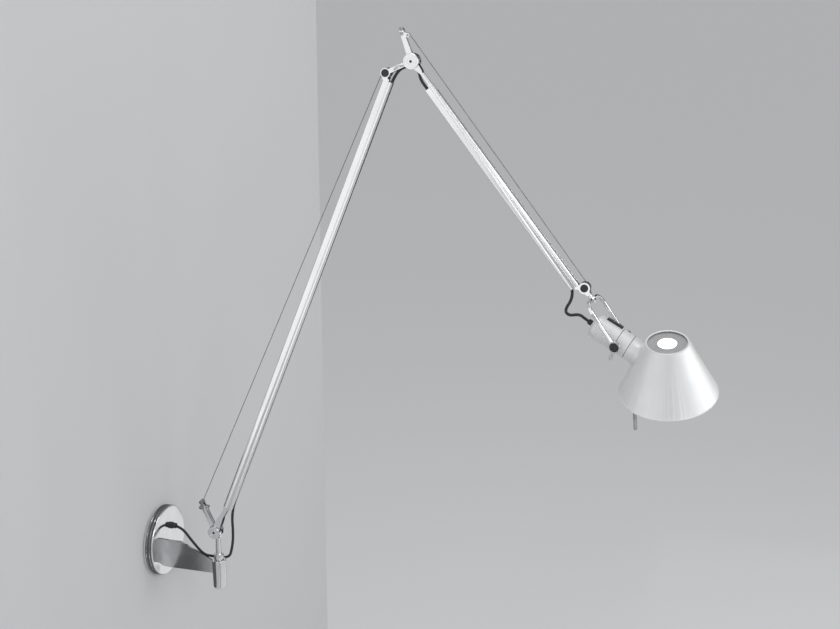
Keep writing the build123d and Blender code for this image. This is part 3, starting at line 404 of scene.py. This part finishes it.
def edgedCopy(node, edge):
    # a CAD node with its flat faces joined and its edges broken, so that they catch the light
    mesh = frame["nodes"][node].data.copy()
    work = bmesh.new()
    work.from_mesh(mesh)
    bmesh.ops.remove_doubles(work, verts=work.verts, dist=edging["weld"] * mm)
    bmesh.ops.dissolve_limit(
        work, angle_limit=math.radians(edging["flatAngle"]), verts=work.verts, edges=work.edges,
        use_dissolve_boundaries=False,
    )
    work.to_mesh(mesh)
    work.free()
    piece = addPiece(pieceName(node), mesh)
    smoothBy(mesh, edging["smoothAngle"])
    if edge:
        bevel = piece.modifiers.new("brokenEdge", "BEVEL")
        bevel.width = edge * mm
        bevel.segments = edging["segments"]
        bevel.limit_method = "ANGLE"
        bevel.angle_limit = math.radians(edging["bevelAngle"])
        bevel.use_clamp_overlap = True
        bevel.harden_normals = True
    settle(piece)
    return piece


# how far each node's edges are broken, in millimetres
edges = {
    "rose_base": 0.3, "rose_cover": 0.3, "rose_grub_screws": 0.15, "rose_grommet": 0.3,
    "socket": 0.3, "socket_bushes": 0.2, "bracket_fin": 0.5,
    "stem": 0.3, "stem_collar": 0.2, "stem_cable_clip": 0.3, "base_discs": 0.15,
    "base_lever": 0.3, "base_lever_pins": 0.3, "base_spool": 0.2, "base_bolt": 0.2,
    "lower_tube": 0.25, "lower_foot": 0.4, "lower_link": 0.3, "lower_pulley": 0.2,
    "lower_axle": 0.2, "elbow_lever": 0.3, "elbow_lever_pins": 0.3, "elbow_spool": 0.2,
    "elbow_bolt": 0.2, "elbow_bush": 0.2, "upper_tube": 0.25, "upper_foot": 0.4,
    "upper_tip": 0.35, "upper_pulley": 0.2, "upper_axle": 0.2, "swivel_nut": 0.3,
    "fork": 0.35, "fork_lug": 0.3, "fork_caps": 0.2,
    "holder_rear": 0.2, "holder_front": 0.2, "pivot_screws": 0.2, "holder_grommet": 0.3,
    "switch_rocker": 0.3, "switch_frame": 0.2, "lampholder": 0.3, "bulb": 0,
    "shade": 0.2, "shade_neck": 0.25, "shade_top_ring": 0.2, "top_lens": 0.15, "handle_rod": 0.2,
}
for node, edge in edges.items():
    finishName = nodeFinish.get(node, slotFinish[slotOf[node]])
    dress(edgedCopy(node, edge), finishName, node)
print("edged pieces:", len(edges))


# turned rings: black bands in the lampholder's seams, painted shade that stands in for the shadow in the
# gaps between its shells, the shade's rolled lip and the lens bezel, with profiles of (radius, height) in
# millimetres
seamShade = {"inner": 22.2, "outer": 23.04, "half": 0.5, "rear": -4, "front": 20}
turning = {"steps": 192, "smoothAngle": 40}


def seamShadeProfile(height):
    low, high = height - seamShade["half"], height + seamShade["half"]
    return [(seamShade["inner"], low), (seamShade["outer"], low), (seamShade["outer"], high), (seamShade["inner"], high)]


rings = {
    # the two seam bands are painted shade: black rings that stand in for the shadow in the seams' gaps
    "rearSeam": {
        "place": headFrame, "body": "head", "finish": "blackPlastic", "slot": "black",
        "profile": seamShadeProfile(seamShade["rear"]),
    },
    "frontSeam": {
        "place": headFrame, "body": "head", "finish": "blackPlastic", "slot": "black",
        "profile": seamShadeProfile(seamShade["front"]),
    },
    "shadeLip": {
        "place": shadeFrame, "body": "shade", "finish": "spunSatin", "slot": "satin_aluminium",
        "profile": [
            (39.0, -1.6), (39.35, -0.7), (39.25, 0.1), (38.7, 0.6), (37.4, 0.75), (36.2, 0.55), (35.6, 0.0),
            (35.6, -0.9), (36.4, -1.5),
        ],
    },
    "lensBezel": {
        "place": shadeFrame, "body": "shade", "finish": "ringSatin", "slot": "satin_aluminium",
        "profile": [(17.0, -3.2), (17.3, -2.6), (18.2, -2.6), (18.6, -3.3), (18.6, -4.2), (17.0, -4.2)],
    },
}


def lathe(name, profile, place):
    # a closed profile turned round the place's Z axis
    verts, faces, count = [], [], len(profile)
    for step in range(turning["steps"]):
        angle = 2 * math.pi * step / turning["steps"]
        verts += [place @ Vector((r * math.cos(angle), r * math.sin(angle), z)) for r, z in profile]
        after = (step + 1) % turning["steps"]
        for i in range(count):
            k = (i + 1) % count
            faces.append((step * count + i, after * count + i, after * count + k, step * count + k))
    mesh = bpy.data.meshes.new(name)
    mesh.from_pydata(verts, [], faces)
    work = bmesh.new()
    work.from_mesh(mesh)
    bmesh.ops.recalc_face_normals(work, faces=work.faces)
    work.to_mesh(mesh)
    work.free()
    smoothBy(mesh, turning["smoothAngle"])
    return addPiece(name, mesh)


for name, ring in rings.items():
    piece = lathe(name, ring["profile"], ring["place"])
    dress(piece, ring["finish"], body=ring["body"])
print("rings turned")


# the cable: a stretch along each arm and one across each joint, points in millimetres
cable = {"radius": 2.8, "sides": 4, "steps": 10, "weld": 0.01, "smoothAngle": 50}


def on(place, along, across, side=0):
    # a point of an arm's own frame, in millimetres of the lamp's frame
    return tuple((place @ Vector((along, across, side))) / mm)


cableRoutes = {
    "cable_wall": [
        (22, 13.5, 27.9), (43, 13.5, 27.9), (68, 13, -2),
        (92, 17, -32), (112, 20, -34), (127.6, 20, -34),
    ],
    "cable_base": [
        (127.6, 20, -34), (149, 20, -34), (163, 7, -5), (170, 1, 30),
        on(lowerArm, 57, -17.8), on(lowerArm, 89, -15.3),
    ],
    "cable_lower": [
        on(lowerArm, 89.6, -15.3), on(lowerArm, 120, -15.3),
        on(lowerArm, 970, -15.3), on(lowerArm, 999.5, -15.3),
    ],
    "cable_elbow": [
        on(lowerArm, 999.5, -15.3), on(lowerArm, 1029.5, -15.3), (549, 0, 998), (573, 0, 992),
        on(upperArm, 41.7, -10.7), on(upperArm, 71.7, -5.7),
    ],
    "cable_upper": [
        on(upperArm, 72.3, -5.7), on(upperArm, 100, -5.7),
        on(upperArm, 460, -5.7), on(upperArm, 486.1, -5.7),
    ],
    "cable_tip": [on(upperArm, 486.1, -5.7), on(upperArm, 514.1, -5.7), (861, -1, 574)],
    "cable_head": [
        (860.5, -1, 573.3), (853, -2, 561.5), (862, -4, 552), (881, -1, 556),
        on(headFrame, 0, 0, -74), on(headFrame, 0, 0, -59),
    ],
}


def routeCurve(name, points, radius):
    curve = bpy.data.curves.new(name, "CURVE")
    curve.dimensions = "3D"
    curve.bevel_depth = radius * mm
    curve.bevel_resolution = cable["sides"]
    curve.use_fill_caps = radius > 0
    spline = curve.splines.new("NURBS")
    spline.points.add(len(points) - 1)
    for knot, point in zip(spline.points, points):
        knot.co = (*(Vector(point) * mm), 1)
    spline.order_u = 3
    spline.use_endpoint_u = True
    spline.resolution_u = cable["steps"]
    return addPiece(name, curve)


def centreLine(points):
    # the route's own spline as points, read from the curve with no bevel
    bare = routeCurve("bareRoute", points, 0)
    line = [vertex.co.copy() for vertex in frozenMesh(bare).vertices]
    bpy.data.objects.remove(bare)
    return line


def layCable(node, points, across=None):
    line = centreLine(points)
    thick = routeCurve("thickRoute", points, cable["radius"])
    mesh = frozenMesh(thick)
    bpy.data.objects.remove(thick)
    work = bmesh.new()
    work.from_mesh(mesh)
    bmesh.ops.remove_doubles(work, verts=work.verts, dist=cable["weld"] * mm)
    bmesh.ops.recalc_face_normals(work, faces=work.faces)
    work.to_mesh(mesh)
    work.free()
    smoothBy(mesh, cable["smoothAngle"])
    piece = addPiece(pieceName(node), mesh)
    dress(piece, "cableJacket")
    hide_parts(node)
    if across:
        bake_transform(piece)
    else:
        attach(piece, bodyOf[node])


# the two bodies that a bent stretch joins
cableJoints = {
    "cable_wall": ("wall_mount", "stem"), "cable_base": ("stem", "lower_arm"),
    "cable_elbow": ("lower_arm", "upper_arm"), "cable_tip": ("upper_arm", "fork"),
    "cable_head": ("fork", "head"),
}
for node, points in cableRoutes.items():
    layCable(node, points, cableJoints.get(node))
print("cable laid")


# node trees for what repeats or follows a path, and how finely they are made
detail = {"coilSides": 6, "ringSteps": 40, "ribSides": 8, "headSides": 32, "keySides": 6, "keyRise": 0.6}


def startTree(name, inputs):
    tree = bpy.data.node_groups.new(name, "GeometryNodeTree")
    tree.interface.new_socket("Geometry", in_out="INPUT", socket_type="NodeSocketGeometry")
    for label, kind, value in inputs:
        socket = tree.interface.new_socket(label, in_out="INPUT", socket_type=kind)
        if value is not None:
            socket.default_value = value
    tree.interface.new_socket("Geometry", in_out="OUTPUT", socket_type="NodeSocketGeometry")
    enter = tree.nodes.new("NodeGroupInput")
    leave = tree.nodes.new("NodeGroupOutput")
    enter.location, leave.location = (-900, 0), (900, 0)
    return tree, enter, leave


def endTree(tree, enter, leave, last):
    solid = tree.nodes.new("GeometryNodeRealizeInstances")
    paint = tree.nodes.new("GeometryNodeSetMaterial")
    tree.links.new(last, solid.inputs["Geometry"])
    tree.links.new(solid.outputs["Geometry"], paint.inputs["Geometry"])
    tree.links.new(enter.outputs["Material"], paint.inputs["Material"])
    tree.links.new(paint.outputs["Geometry"], leave.inputs["Geometry"])
    return tree


def runTree(piece, tree, values):
    modifier = piece.modifiers.new(tree.name, "NODES")
    modifier.node_group = tree
    for item in tree.interface.items_tree:
        if item.item_type == "SOCKET" and item.in_out == "INPUT" and item.name in values:
            modifier[item.identifier] = values[item.name]
    settle(piece)


def makeSpringTree():
    # a close-wound tension spring along local Z
    tree, enter, leave = startTree("springCoils", [
        ("Length", "NodeSocketFloat", 0.1), ("Coil Radius", "NodeSocketFloat", 0.003),
        ("Wire Radius", "NodeSocketFloat", 0.0004), ("Turns", "NodeSocketFloat", 100.0),
        ("Steps", "NodeSocketInt", 14), ("Material", "NodeSocketMaterial", None),
    ])
    nodes, links = tree.nodes, tree.links
    coil = nodes.new("GeometryNodeCurveSpiral")
    section = nodes.new("GeometryNodeCurvePrimitiveCircle")
    section.inputs["Resolution"].default_value = detail["coilSides"]
    sweep = nodes.new("GeometryNodeCurveToMesh")
    sweep.inputs["Fill Caps"].default_value = True
    links.new(enter.outputs["Steps"], coil.inputs["Resolution"])
    links.new(enter.outputs["Turns"], coil.inputs["Rotations"])
    links.new(enter.outputs["Coil Radius"], coil.inputs["Start Radius"])
    links.new(enter.outputs["Coil Radius"], coil.inputs["End Radius"])
    links.new(enter.outputs["Length"], coil.inputs["Height"])
    links.new(enter.outputs["Wire Radius"], section.inputs["Radius"])
    links.new(coil.outputs["Curve"], sweep.inputs["Curve"])
    links.new(section.outputs["Curve"], sweep.inputs["Profile Curve"])
    return endTree(tree, enter, leave, sweep.outputs["Mesh"])


def makeRopeTree():
    # a rope of twisted strands swept along the piece's own line
    tree, enter, leave = startTree("strandedRope", [
        ("Radius", "NodeSocketFloat", 0.0008), ("Strands", "NodeSocketInt", 6),
        ("Valley", "NodeSocketFloat", 0.82), ("Step", "NodeSocketFloat", 0.0008),
        ("Twist per Metre", "NodeSocketFloat", 600.0), ("Material", "NodeSocketMaterial", None),
    ])
    nodes, links = tree.nodes, tree.links
    toCurve = nodes.new("GeometryNodeMeshToCurve")
    even = nodes.new("GeometryNodeResampleCurve")
    even.mode = "LENGTH"
    along = nodes.new("GeometryNodeSplineParameter")
    turn = nodes.new("ShaderNodeMath")
    turn.operation = "MULTIPLY"
    tilt = nodes.new("GeometryNodeSetCurveTilt")
    valley = nodes.new("ShaderNodeMath")
    valley.operation = "MULTIPLY"
    star = nodes.new("GeometryNodeCurveStar")
    sweep = nodes.new("GeometryNodeCurveToMesh")
    sweep.inputs["Fill Caps"].default_value = True
    links.new(enter.outputs["Geometry"], toCurve.inputs["Mesh"])
    links.new(toCurve.outputs["Curve"], even.inputs["Curve"])
    links.new(enter.outputs["Step"], even.inputs["Length"])
    links.new(along.outputs["Length"], turn.inputs[0])
    links.new(enter.outputs["Twist per Metre"], turn.inputs[1])
    links.new(even.outputs["Curve"], tilt.inputs["Curve"])
    links.new(turn.outputs["Value"], tilt.inputs["Tilt"])
    links.new(enter.outputs["Radius"], valley.inputs[0])
    links.new(enter.outputs["Valley"], valley.inputs[1])
    links.new(enter.outputs["Strands"], star.inputs["Points"])
    links.new(valley.outputs["Value"], star.inputs["Inner Radius"])
    links.new(enter.outputs["Radius"], star.inputs["Outer Radius"])
    links.new(tilt.outputs["Curve"], sweep.inputs["Curve"])
    links.new(star.outputs["Curve"], sweep.inputs["Profile Curve"])
    return endTree(tree, enter, leave, sweep.outputs["Mesh"])


def makeRibTree():
    # rings at even steps along local Z, for the ribs of a strain relief
    tree, enter, leave = startTree("ribs", [
        ("Count", "NodeSocketInt", 4), ("Spacing", "NodeSocketFloat", 0.002),
        ("Ring Radius", "NodeSocketFloat", 0.005), ("Rib Radius", "NodeSocketFloat", 0.0006),
        ("Material", "NodeSocketMaterial", None),
    ])
    nodes, links = tree.nodes, tree.links
    step = nodes.new("ShaderNodeCombineXYZ")
    row = nodes.new("GeometryNodeMeshLine")
    ring = nodes.new("GeometryNodeCurvePrimitiveCircle")
    ring.inputs["Resolution"].default_value = detail["ringSteps"]
    rib = nodes.new("GeometryNodeCurvePrimitiveCircle")
    rib.inputs["Resolution"].default_value = detail["ribSides"]
    sweep = nodes.new("GeometryNodeCurveToMesh")
    copies = nodes.new("GeometryNodeInstanceOnPoints")
    links.new(enter.outputs["Spacing"], step.inputs["Z"])
    links.new(enter.outputs["Count"], row.inputs["Count"])
    links.new(step.outputs["Vector"], row.inputs["Offset"])
    links.new(enter.outputs["Ring Radius"], ring.inputs["Radius"])
    links.new(enter.outputs["Rib Radius"], rib.inputs["Radius"])
    links.new(ring.outputs["Curve"], sweep.inputs["Curve"])
    links.new(rib.outputs["Curve"], sweep.inputs["Profile Curve"])
    links.new(row.outputs["Mesh"], copies.inputs["Points"])
    links.new(sweep.outputs["Mesh"], copies.inputs["Instance"])
    return endTree(tree, enter, leave, copies.outputs["Instances"])


def makeSocketHeadTree():
    # a round head with a hexagon socket at each point, facing along the point's own direction
    tree, enter, leave = startTree("socketHeads", [
        ("Head Radius", "NodeSocketFloat", 0.002), ("Head Height", "NodeSocketFloat", 0.001),
        ("Key Radius", "NodeSocketFloat", 0.001), ("Material", "NodeSocketMaterial", None),
    ])
    nodes, links = tree.nodes, tree.links
    head = nodes.new("GeometryNodeMeshCylinder")
    head.inputs["Vertices"].default_value = detail["headSides"]
    key = nodes.new("GeometryNodeMeshCylinder")
    key.inputs["Vertices"].default_value = detail["keySides"]
    lift = nodes.new("GeometryNodeTransform")
    up = nodes.new("ShaderNodeCombineXYZ")
    rise = nodes.new("ShaderNodeMath")
    rise.operation = "MULTIPLY"
    rise.inputs[1].default_value = detail["keyRise"]
    cut = nodes.new("GeometryNodeMeshBoolean")
    cut.operation = "DIFFERENCE"
    facing = nodes.new("GeometryNodeInputNamedAttribute")
    facing.data_type = "FLOAT_VECTOR"
    facing.inputs["Name"].default_value = "facing"
    align = nodes.new("FunctionNodeAlignRotationToVector")
    align.axis = "Z"
    copies = nodes.new("GeometryNodeInstanceOnPoints")
    links.new(enter.outputs["Head Radius"], head.inputs["Radius"])
    links.new(enter.outputs["Head Height"], head.inputs["Depth"])
    links.new(enter.outputs["Key Radius"], key.inputs["Radius"])
    links.new(enter.outputs["Head Height"], key.inputs["Depth"])
    links.new(enter.outputs["Head Height"], rise.inputs[0])
    links.new(rise.outputs["Value"], up.inputs["Z"])
    links.new(up.outputs["Vector"], lift.inputs["Translation"])
    links.new(key.outputs["Mesh"], lift.inputs["Geometry"])
    links.new(head.outputs["Mesh"], cut.inputs["Mesh 1"])
    links.new(lift.outputs["Geometry"], cut.inputs["Mesh 2"])
    links.new(enter.outputs["Geometry"], copies.inputs["Points"])
    links.new(cut.outputs["Mesh"], copies.inputs["Instance"])
    links.new(facing.outputs["Attribute"], align.inputs["Vector"])
    links.new(align.outputs["Rotation"], copies.inputs["Rotation"])
    return endTree(tree, enter, leave, copies.outputs["Instances"])


springTree = makeSpringTree()
ropeTree = makeRopeTree()
ribTree = makeRibTree()
headTree = makeSocketHeadTree()


# springs in the arms, wound at a pitch given in wire diameters
coiling = {"pitch": 1.04, "steps": 14, "smoothAngle": 60}
springs = {
    "lower_spring": {
        "place": lowerArm, "foot": 693.5, "across": -6.8, "length": 260.0, "radius": 3.8, "wire": 0.55,
    },
    "upper_spring": {
        "place": upperArm, "foot": 278.1, "across": 4.0, "length": 170.0, "radius": 2.8, "wire": 0.45,
    },
}
alongArm = Matrix.Rotation(math.radians(90), 4, "Y")
for node, spring in springs.items():
    piece = addPiece(pieceName(node), bpy.data.meshes.new(node))
    wire = spring["wire"]
    coilLength = spring["length"] - 2 * wire
    runTree(piece, springTree, {
        "Length": coilLength, "Coil Radius": spring["radius"] - wire, "Wire Radius": wire,
        "Turns": coilLength / (2 * wire * coiling["pitch"]), "Steps": coiling["steps"],
        "Material": finish["steel"],
    })
    foot = Matrix.Translation((spring["foot"] + wire, spring["across"], 0))
    piece.data.transform(spring["place"] @ foot @ alongArm)
    smoothBy(piece.data, coiling["smoothAngle"])
    dress(piece, "steel", node)
print("springs wound")


# tension wires, their points along and across the arm
wires = {
    "lower_wire": {
        "place": lowerArm, "start": (49.2, 48.3), "pulley": (1024.1, 0.1), "end": (953.5, -6.8),
        "takeUp": [(49.2, 48.3), (90, 46.3)],  # two points on the wire's first run, near the stem
    },
    "upper_wire": {
        "place": upperArm, "start": (-36.7, 25.6), "pulley": (516.9, 12.1), "end": (448.1, 4.0),
        "line": [(-36.7, 25.6), (510, 20)], "shortest": 0.93,  # two points on the wire's first run, from its start towards the pulley
    },
}
# the rope's sizes in millimetres, its valleys as a part of the radius, its twist in radians a metre
rope = {
    "radius": 0.8, "pathRadius": 8.1, "strands": 6, "valley": 0.8, "step": 0.8, "twist": 600.0,
    "pulleySteps": 16, "smoothAngle": 75,
}


def wireLine(wire):
    # straight to the pulley, round it, and back to the spring
    start, pulley = Vector(wire["start"]), Vector(wire["pulley"])
    reach = pulley - start
    angle = math.atan2(reach.y, reach.x) + math.asin(rope["pathRadius"] / reach.length)
    run = math.sqrt(reach.length ** 2 - rope["pathRadius"] ** 2)
    touch = start + Vector((math.cos(angle), math.sin(angle))) * run
    first = math.atan2(touch.y - pulley.y, touch.x - pulley.x)
    line = [start, touch]
    for step in range(1, rope["pulleySteps"] + 1):
        turn = first + (-math.pi / 2 - first) * step / rope["pulleySteps"]
        line.append(pulley + Vector((math.cos(turn), math.sin(turn))) * rope["pathRadius"])
    line.append(Vector(wire["end"]))
    return line


for node, wire in wires.items():
    line = wireLine(wire)
    mesh = bpy.data.meshes.new(node)
    runs = [(i, i + 1) for i in range(len(line) - 1)]
    mesh.from_pydata([(p.x * mm, p.y * mm, 0) for p in line], runs, [])
    piece = addPiece(pieceName(node), mesh)
    runTree(piece, ropeTree, {
        "Radius": rope["radius"] * mm, "Strands": rope["strands"], "Valley": rope["valley"],
        "Step": rope["step"] * mm, "Twist per Metre": rope["twist"], "Material": finish["ropeSteel"],
    })
    piece.data.transform(wire["place"] @ Matrix.Scale(1 / mm, 4))
    smoothBy(piece.data, rope["smoothAngle"])
    dress(piece, "ropeSteel")
    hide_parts(node)
    if node == "lower_wire":
        start, end = [Vector(on(lowerArm, *point)) * mm for point in wire["takeUp"]]
        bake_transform(piece)
    else:
        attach(piece, bodyOf[node])
        start, end = [Vector(on(upperArm, *point)) for point in wire["line"]]
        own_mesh(piece)
print("wires strung")


# ribs on the cable reliefs
ribbing = {"count": 3, "spacing": 2.2, "rib": 0.5, "smoothAngle": 60}
reliefs = {
    "roseReliefRibs": {
        "place": localFrame((20, 13.5, 27.9), (0, 1, 0), (1, 0, 0)), "body": "wall_mount",
        "first": 6.0, "ring": 5.5,
    },
    "holderReliefRibs": {"place": headFrame, "body": "head", "first": -66.5, "ring": 5.1},
}
for name, relief in reliefs.items():
    piece = addPiece(name, bpy.data.meshes.new(name))
    runTree(piece, ribTree, {
        "Count": ribbing["count"], "Spacing": ribbing["spacing"], "Ring Radius": relief["ring"],
        "Rib Radius": ribbing["rib"], "Material": finish["blackPlastic"],
    })
    piece.data.transform(relief["place"] @ Matrix.Translation((0, 0, relief["first"])))
    smoothBy(piece.data, ribbing["smoothAngle"])
    dress(piece, "blackPlastic", body=relief["body"])
print("ribs made")


# the dark dots in the joint discs, each at (x, y, z, way it faces)
dot = {
    "at": [(0, 0, 10.2, 1), (0, 0, -10.2, -1)], "radius": 2.4, "height": 1.0, "key": 1.2,
    "smoothAngle": 40,
}
discDots = {
    "baseDiscDots": {"place": baseJoint, "body": "stem"},
    "elbowDiscDots": {"place": elbowJoint, "body": "lower_arm"},
}
for name, disc in discDots.items():
    mesh = bpy.data.meshes.new(name)
    mesh.from_pydata([(x, y, z) for x, y, z, way in dot["at"]], [], [])
    facing = mesh.attributes.new("facing", "FLOAT_VECTOR", "POINT")
    for point, (x, y, z, way) in zip(facing.data, dot["at"]):
        point.vector = (0, 0, way)
    piece = addPiece(name, mesh)
    runTree(piece, headTree, {
        "Head Radius": dot["radius"], "Head Height": dot["height"], "Key Radius": dot["key"],
        "Material": finish["blackPlastic"],
    })
    piece.data.transform(disc["place"])
    smoothBy(piece.data, dot["smoothAngle"])
    dress(piece, "blackPlastic", body=disc["body"])
print("joint discs dotted")


# floor, wall and light, in metres
studio = {
    "floorHeight": -1.2,
    "floorReach": 400,
    "wallFrom": -4,
    "wallEnd": 0.97,
    "wallTop": 3.5,
    "wallGap": 0.0006,
    "backdrop": (0.70, 0.705, 0.715),
    "wallColour": (0.56, 0.565, 0.575),
    "ambient": 0.62,
}


def plainSheet(name, corners, colour):
    mesh = bpy.data.meshes.new(name)
    mesh.from_pydata(corners, [], [(0, 1, 2, 3)])
    sheet = addPiece(name, mesh)
    material = bpy.data.materials.new(name)
    material.use_nodes = True
    nodes, links = material.node_tree.nodes, material.node_tree.links
    skin = nodes["Principled BSDF"]
    skin.inputs["Base Color"].default_value = (*colour, 1)
    skin.inputs["Roughness"].default_value = 0.9
    skin.inputs["Specular IOR Level"].default_value = 0.1
    # seen from behind, the sheet isn't there
    clear = nodes.new("ShaderNodeBsdfTransparent")
    side = nodes.new("ShaderNodeNewGeometry")
    choose = nodes.new("ShaderNodeMixShader")
    links.new(side.outputs["Backfacing"], choose.inputs["Fac"])
    links.new(skin.outputs["BSDF"], choose.inputs[1])
    links.new(clear.outputs["BSDF"], choose.inputs[2])
    links.new(choose.outputs["Shader"], nodes["Material Output"].inputs["Surface"])
    mesh.materials.append(material)


low, far = studio["floorHeight"], studio["floorReach"]
floorCorners = [(-far, -far, low), (far, -far, low), (far, far, low), (-far, far, low)]
plainSheet("floor", floorCorners, studio["backdrop"])
near, end, top, back = studio["wallFrom"], studio["wallEnd"], studio["wallTop"], -studio["wallGap"]
wallCorners = [(back, near, low), (back, end, low), (back, end, top), (back, near, top)]
plainSheet("wall", wallCorners, studio["wallColour"])


def lightWorld(settings):
    # the camera and the metal see the backdrop's colour, and the lamp is lit by white
    world = bpy.data.worlds.new("studio")
    bpy.context.scene.world = world
    world.use_nodes = True
    nodes, links = world.node_tree.nodes, world.node_tree.links
    seen = nodes["Background"]
    seen.inputs["Color"].default_value = (*settings["backdrop"], 1)
    seen.inputs["Strength"].default_value = settings["ambient"]
    lit = nodes.new("ShaderNodeBackground")
    lit.inputs["Color"].default_value = (1, 1, 1, 1)
    lit.inputs["Strength"].default_value = settings["ambient"]
    ray = nodes.new("ShaderNodeLightPath")
    direct = nodes.new("ShaderNodeMath")
    direct.operation = "MAXIMUM"
    looking = nodes.new("ShaderNodeMath")
    looking.operation = "MAXIMUM"
    choose = nodes.new("ShaderNodeMixShader")
    links.new(ray.outputs["Is Camera Ray"], direct.inputs[0])
    links.new(ray.outputs["Is Glossy Ray"], direct.inputs[1])
    links.new(direct.outputs["Value"], looking.inputs[0])
    links.new(ray.outputs["Is Transmission Ray"], looking.inputs[1])
    links.new(looking.outputs["Value"], choose.inputs["Fac"])
    links.new(lit.outputs["Background"], choose.inputs[1])
    links.new(seen.outputs["Background"], choose.inputs[2])
    links.new(choose.outputs["Shader"], nodes["World Output"].inputs["Surface"])


lightWorld(studio)

lamps = {
    "keyLight": {"place": (3.2, -2.8, 2.4), "aim": (0.7, 0, 0.6), "size": (1.6, 1.6), "power": 29},
    "rightCard": {"place": (3.6, 0.5, 0.9), "aim": (0.7, 0.1, 0.6), "size": (3.4, 2.4), "power": 36},
    "frontFill": {"place": (-0.25, -3.4, 0.9), "aim": (0.5, 0, 0.5), "size": (1.7, 1.9), "power": 8},
    "topLight": {"place": (0.9, -0.3, 3.4), "aim": (0.7, 0, 0.5), "size": (1.4, 1.4), "power": 16},
}
for name, lamp in lamps.items():
    light = bpy.data.lights.new(name, "AREA")
    light.shape = "RECTANGLE"
    light.size, light.size_y = lamp["size"]
    light.energy = lamp["power"]
    stand = bpy.data.objects.new(name, light)
    bpy.context.scene.collection.objects.link(stand)
    stand.location = lamp["place"]
    aim = Vector(lamp["aim"]) - Vector(lamp["place"])
    stand.rotation_euler = aim.to_track_quat("-Z", "Y").to_euler()
    stand.visible_camera = False
print("lamps lit:", len(lamps))


# bright and dark cards that only reflections see: place, size, where the card faces, how bright it is
cards = {
    "armCard": [(0.012, -1.36, 0.74), (1.88, 1.8), (1, 0, 0), 1.05],
    "tipCard": [(0.012, -5.6, -0.3), (3.4, 1.7), (1, 0, 0), 1.1],
    "roseCard": [(1.45, 2.4, -1.18), (1.4, 1.5), (0, 0, 1), 0.82],
    "roseFlag": [(0.004, -0.01, 0), (0.40, 0.38), (1, 0, 0), 0.10],
    "stemDark": [(0.30, -0.62, -0.28), (0.05, 0.5), (0, 1, 0), 0.02],
    "stemBright": [(0.37, -0.62, -0.28), (0.06, 0.5), (0, 1, 0), 1.3],
    "stemEdge": [(0.48, -0.60, -0.28), (0.10, 0.5), (0, 1, 0), 0.02],
    "backFlag": [(0.42, 2.4, -1.17), (0.48, 1.9), (0, 0, 1), 0.02],
    "farFlag": [(2.6, 3.2, 0.6), (1.6, 3.6), (-0.5, -0.8, 0), 0.02],
    "highFlag": [(0.4, -1.6, 3.2), (1.8, 1.2), (0, 0.3, -1), 0.02],
}
for name, (place, size, facing, glow) in cards.items():
    paint = bpy.data.materials.new(name)
    paint.use_nodes = True
    skin = paint.node_tree.nodes["Principled BSDF"]
    skin.inputs["Base Color"].default_value = (0, 0, 0, 1)
    skin.inputs["Specular IOR Level"].default_value = 0
    skin.inputs["Emission Color"].default_value = (1, 1, 1, 1)
    skin.inputs["Emission Strength"].default_value = glow
    turn = Vector(facing).to_track_quat("Z", "Y").to_matrix().to_4x4()
    wide, high = size[0] / 2, size[1] / 2
    corners = [(-wide, -high, 0), (wide, -high, 0), (wide, high, 0), (-wide, high, 0)]
    mesh = bpy.data.meshes.new(name)
    mesh.from_pydata([Vector(place) + turn @ Vector(corner) for corner in corners], [], [(0, 1, 2, 3)])
    mesh.materials.append(paint)
    card = addPiece(name, mesh)
    card.visible_camera = card.visible_diffuse = card.visible_shadow = False
    card.visible_transmission = card.visible_volume_scatter = False
bpy.context.scene.view_settings.view_transform = "Standard"
print("studio lit")
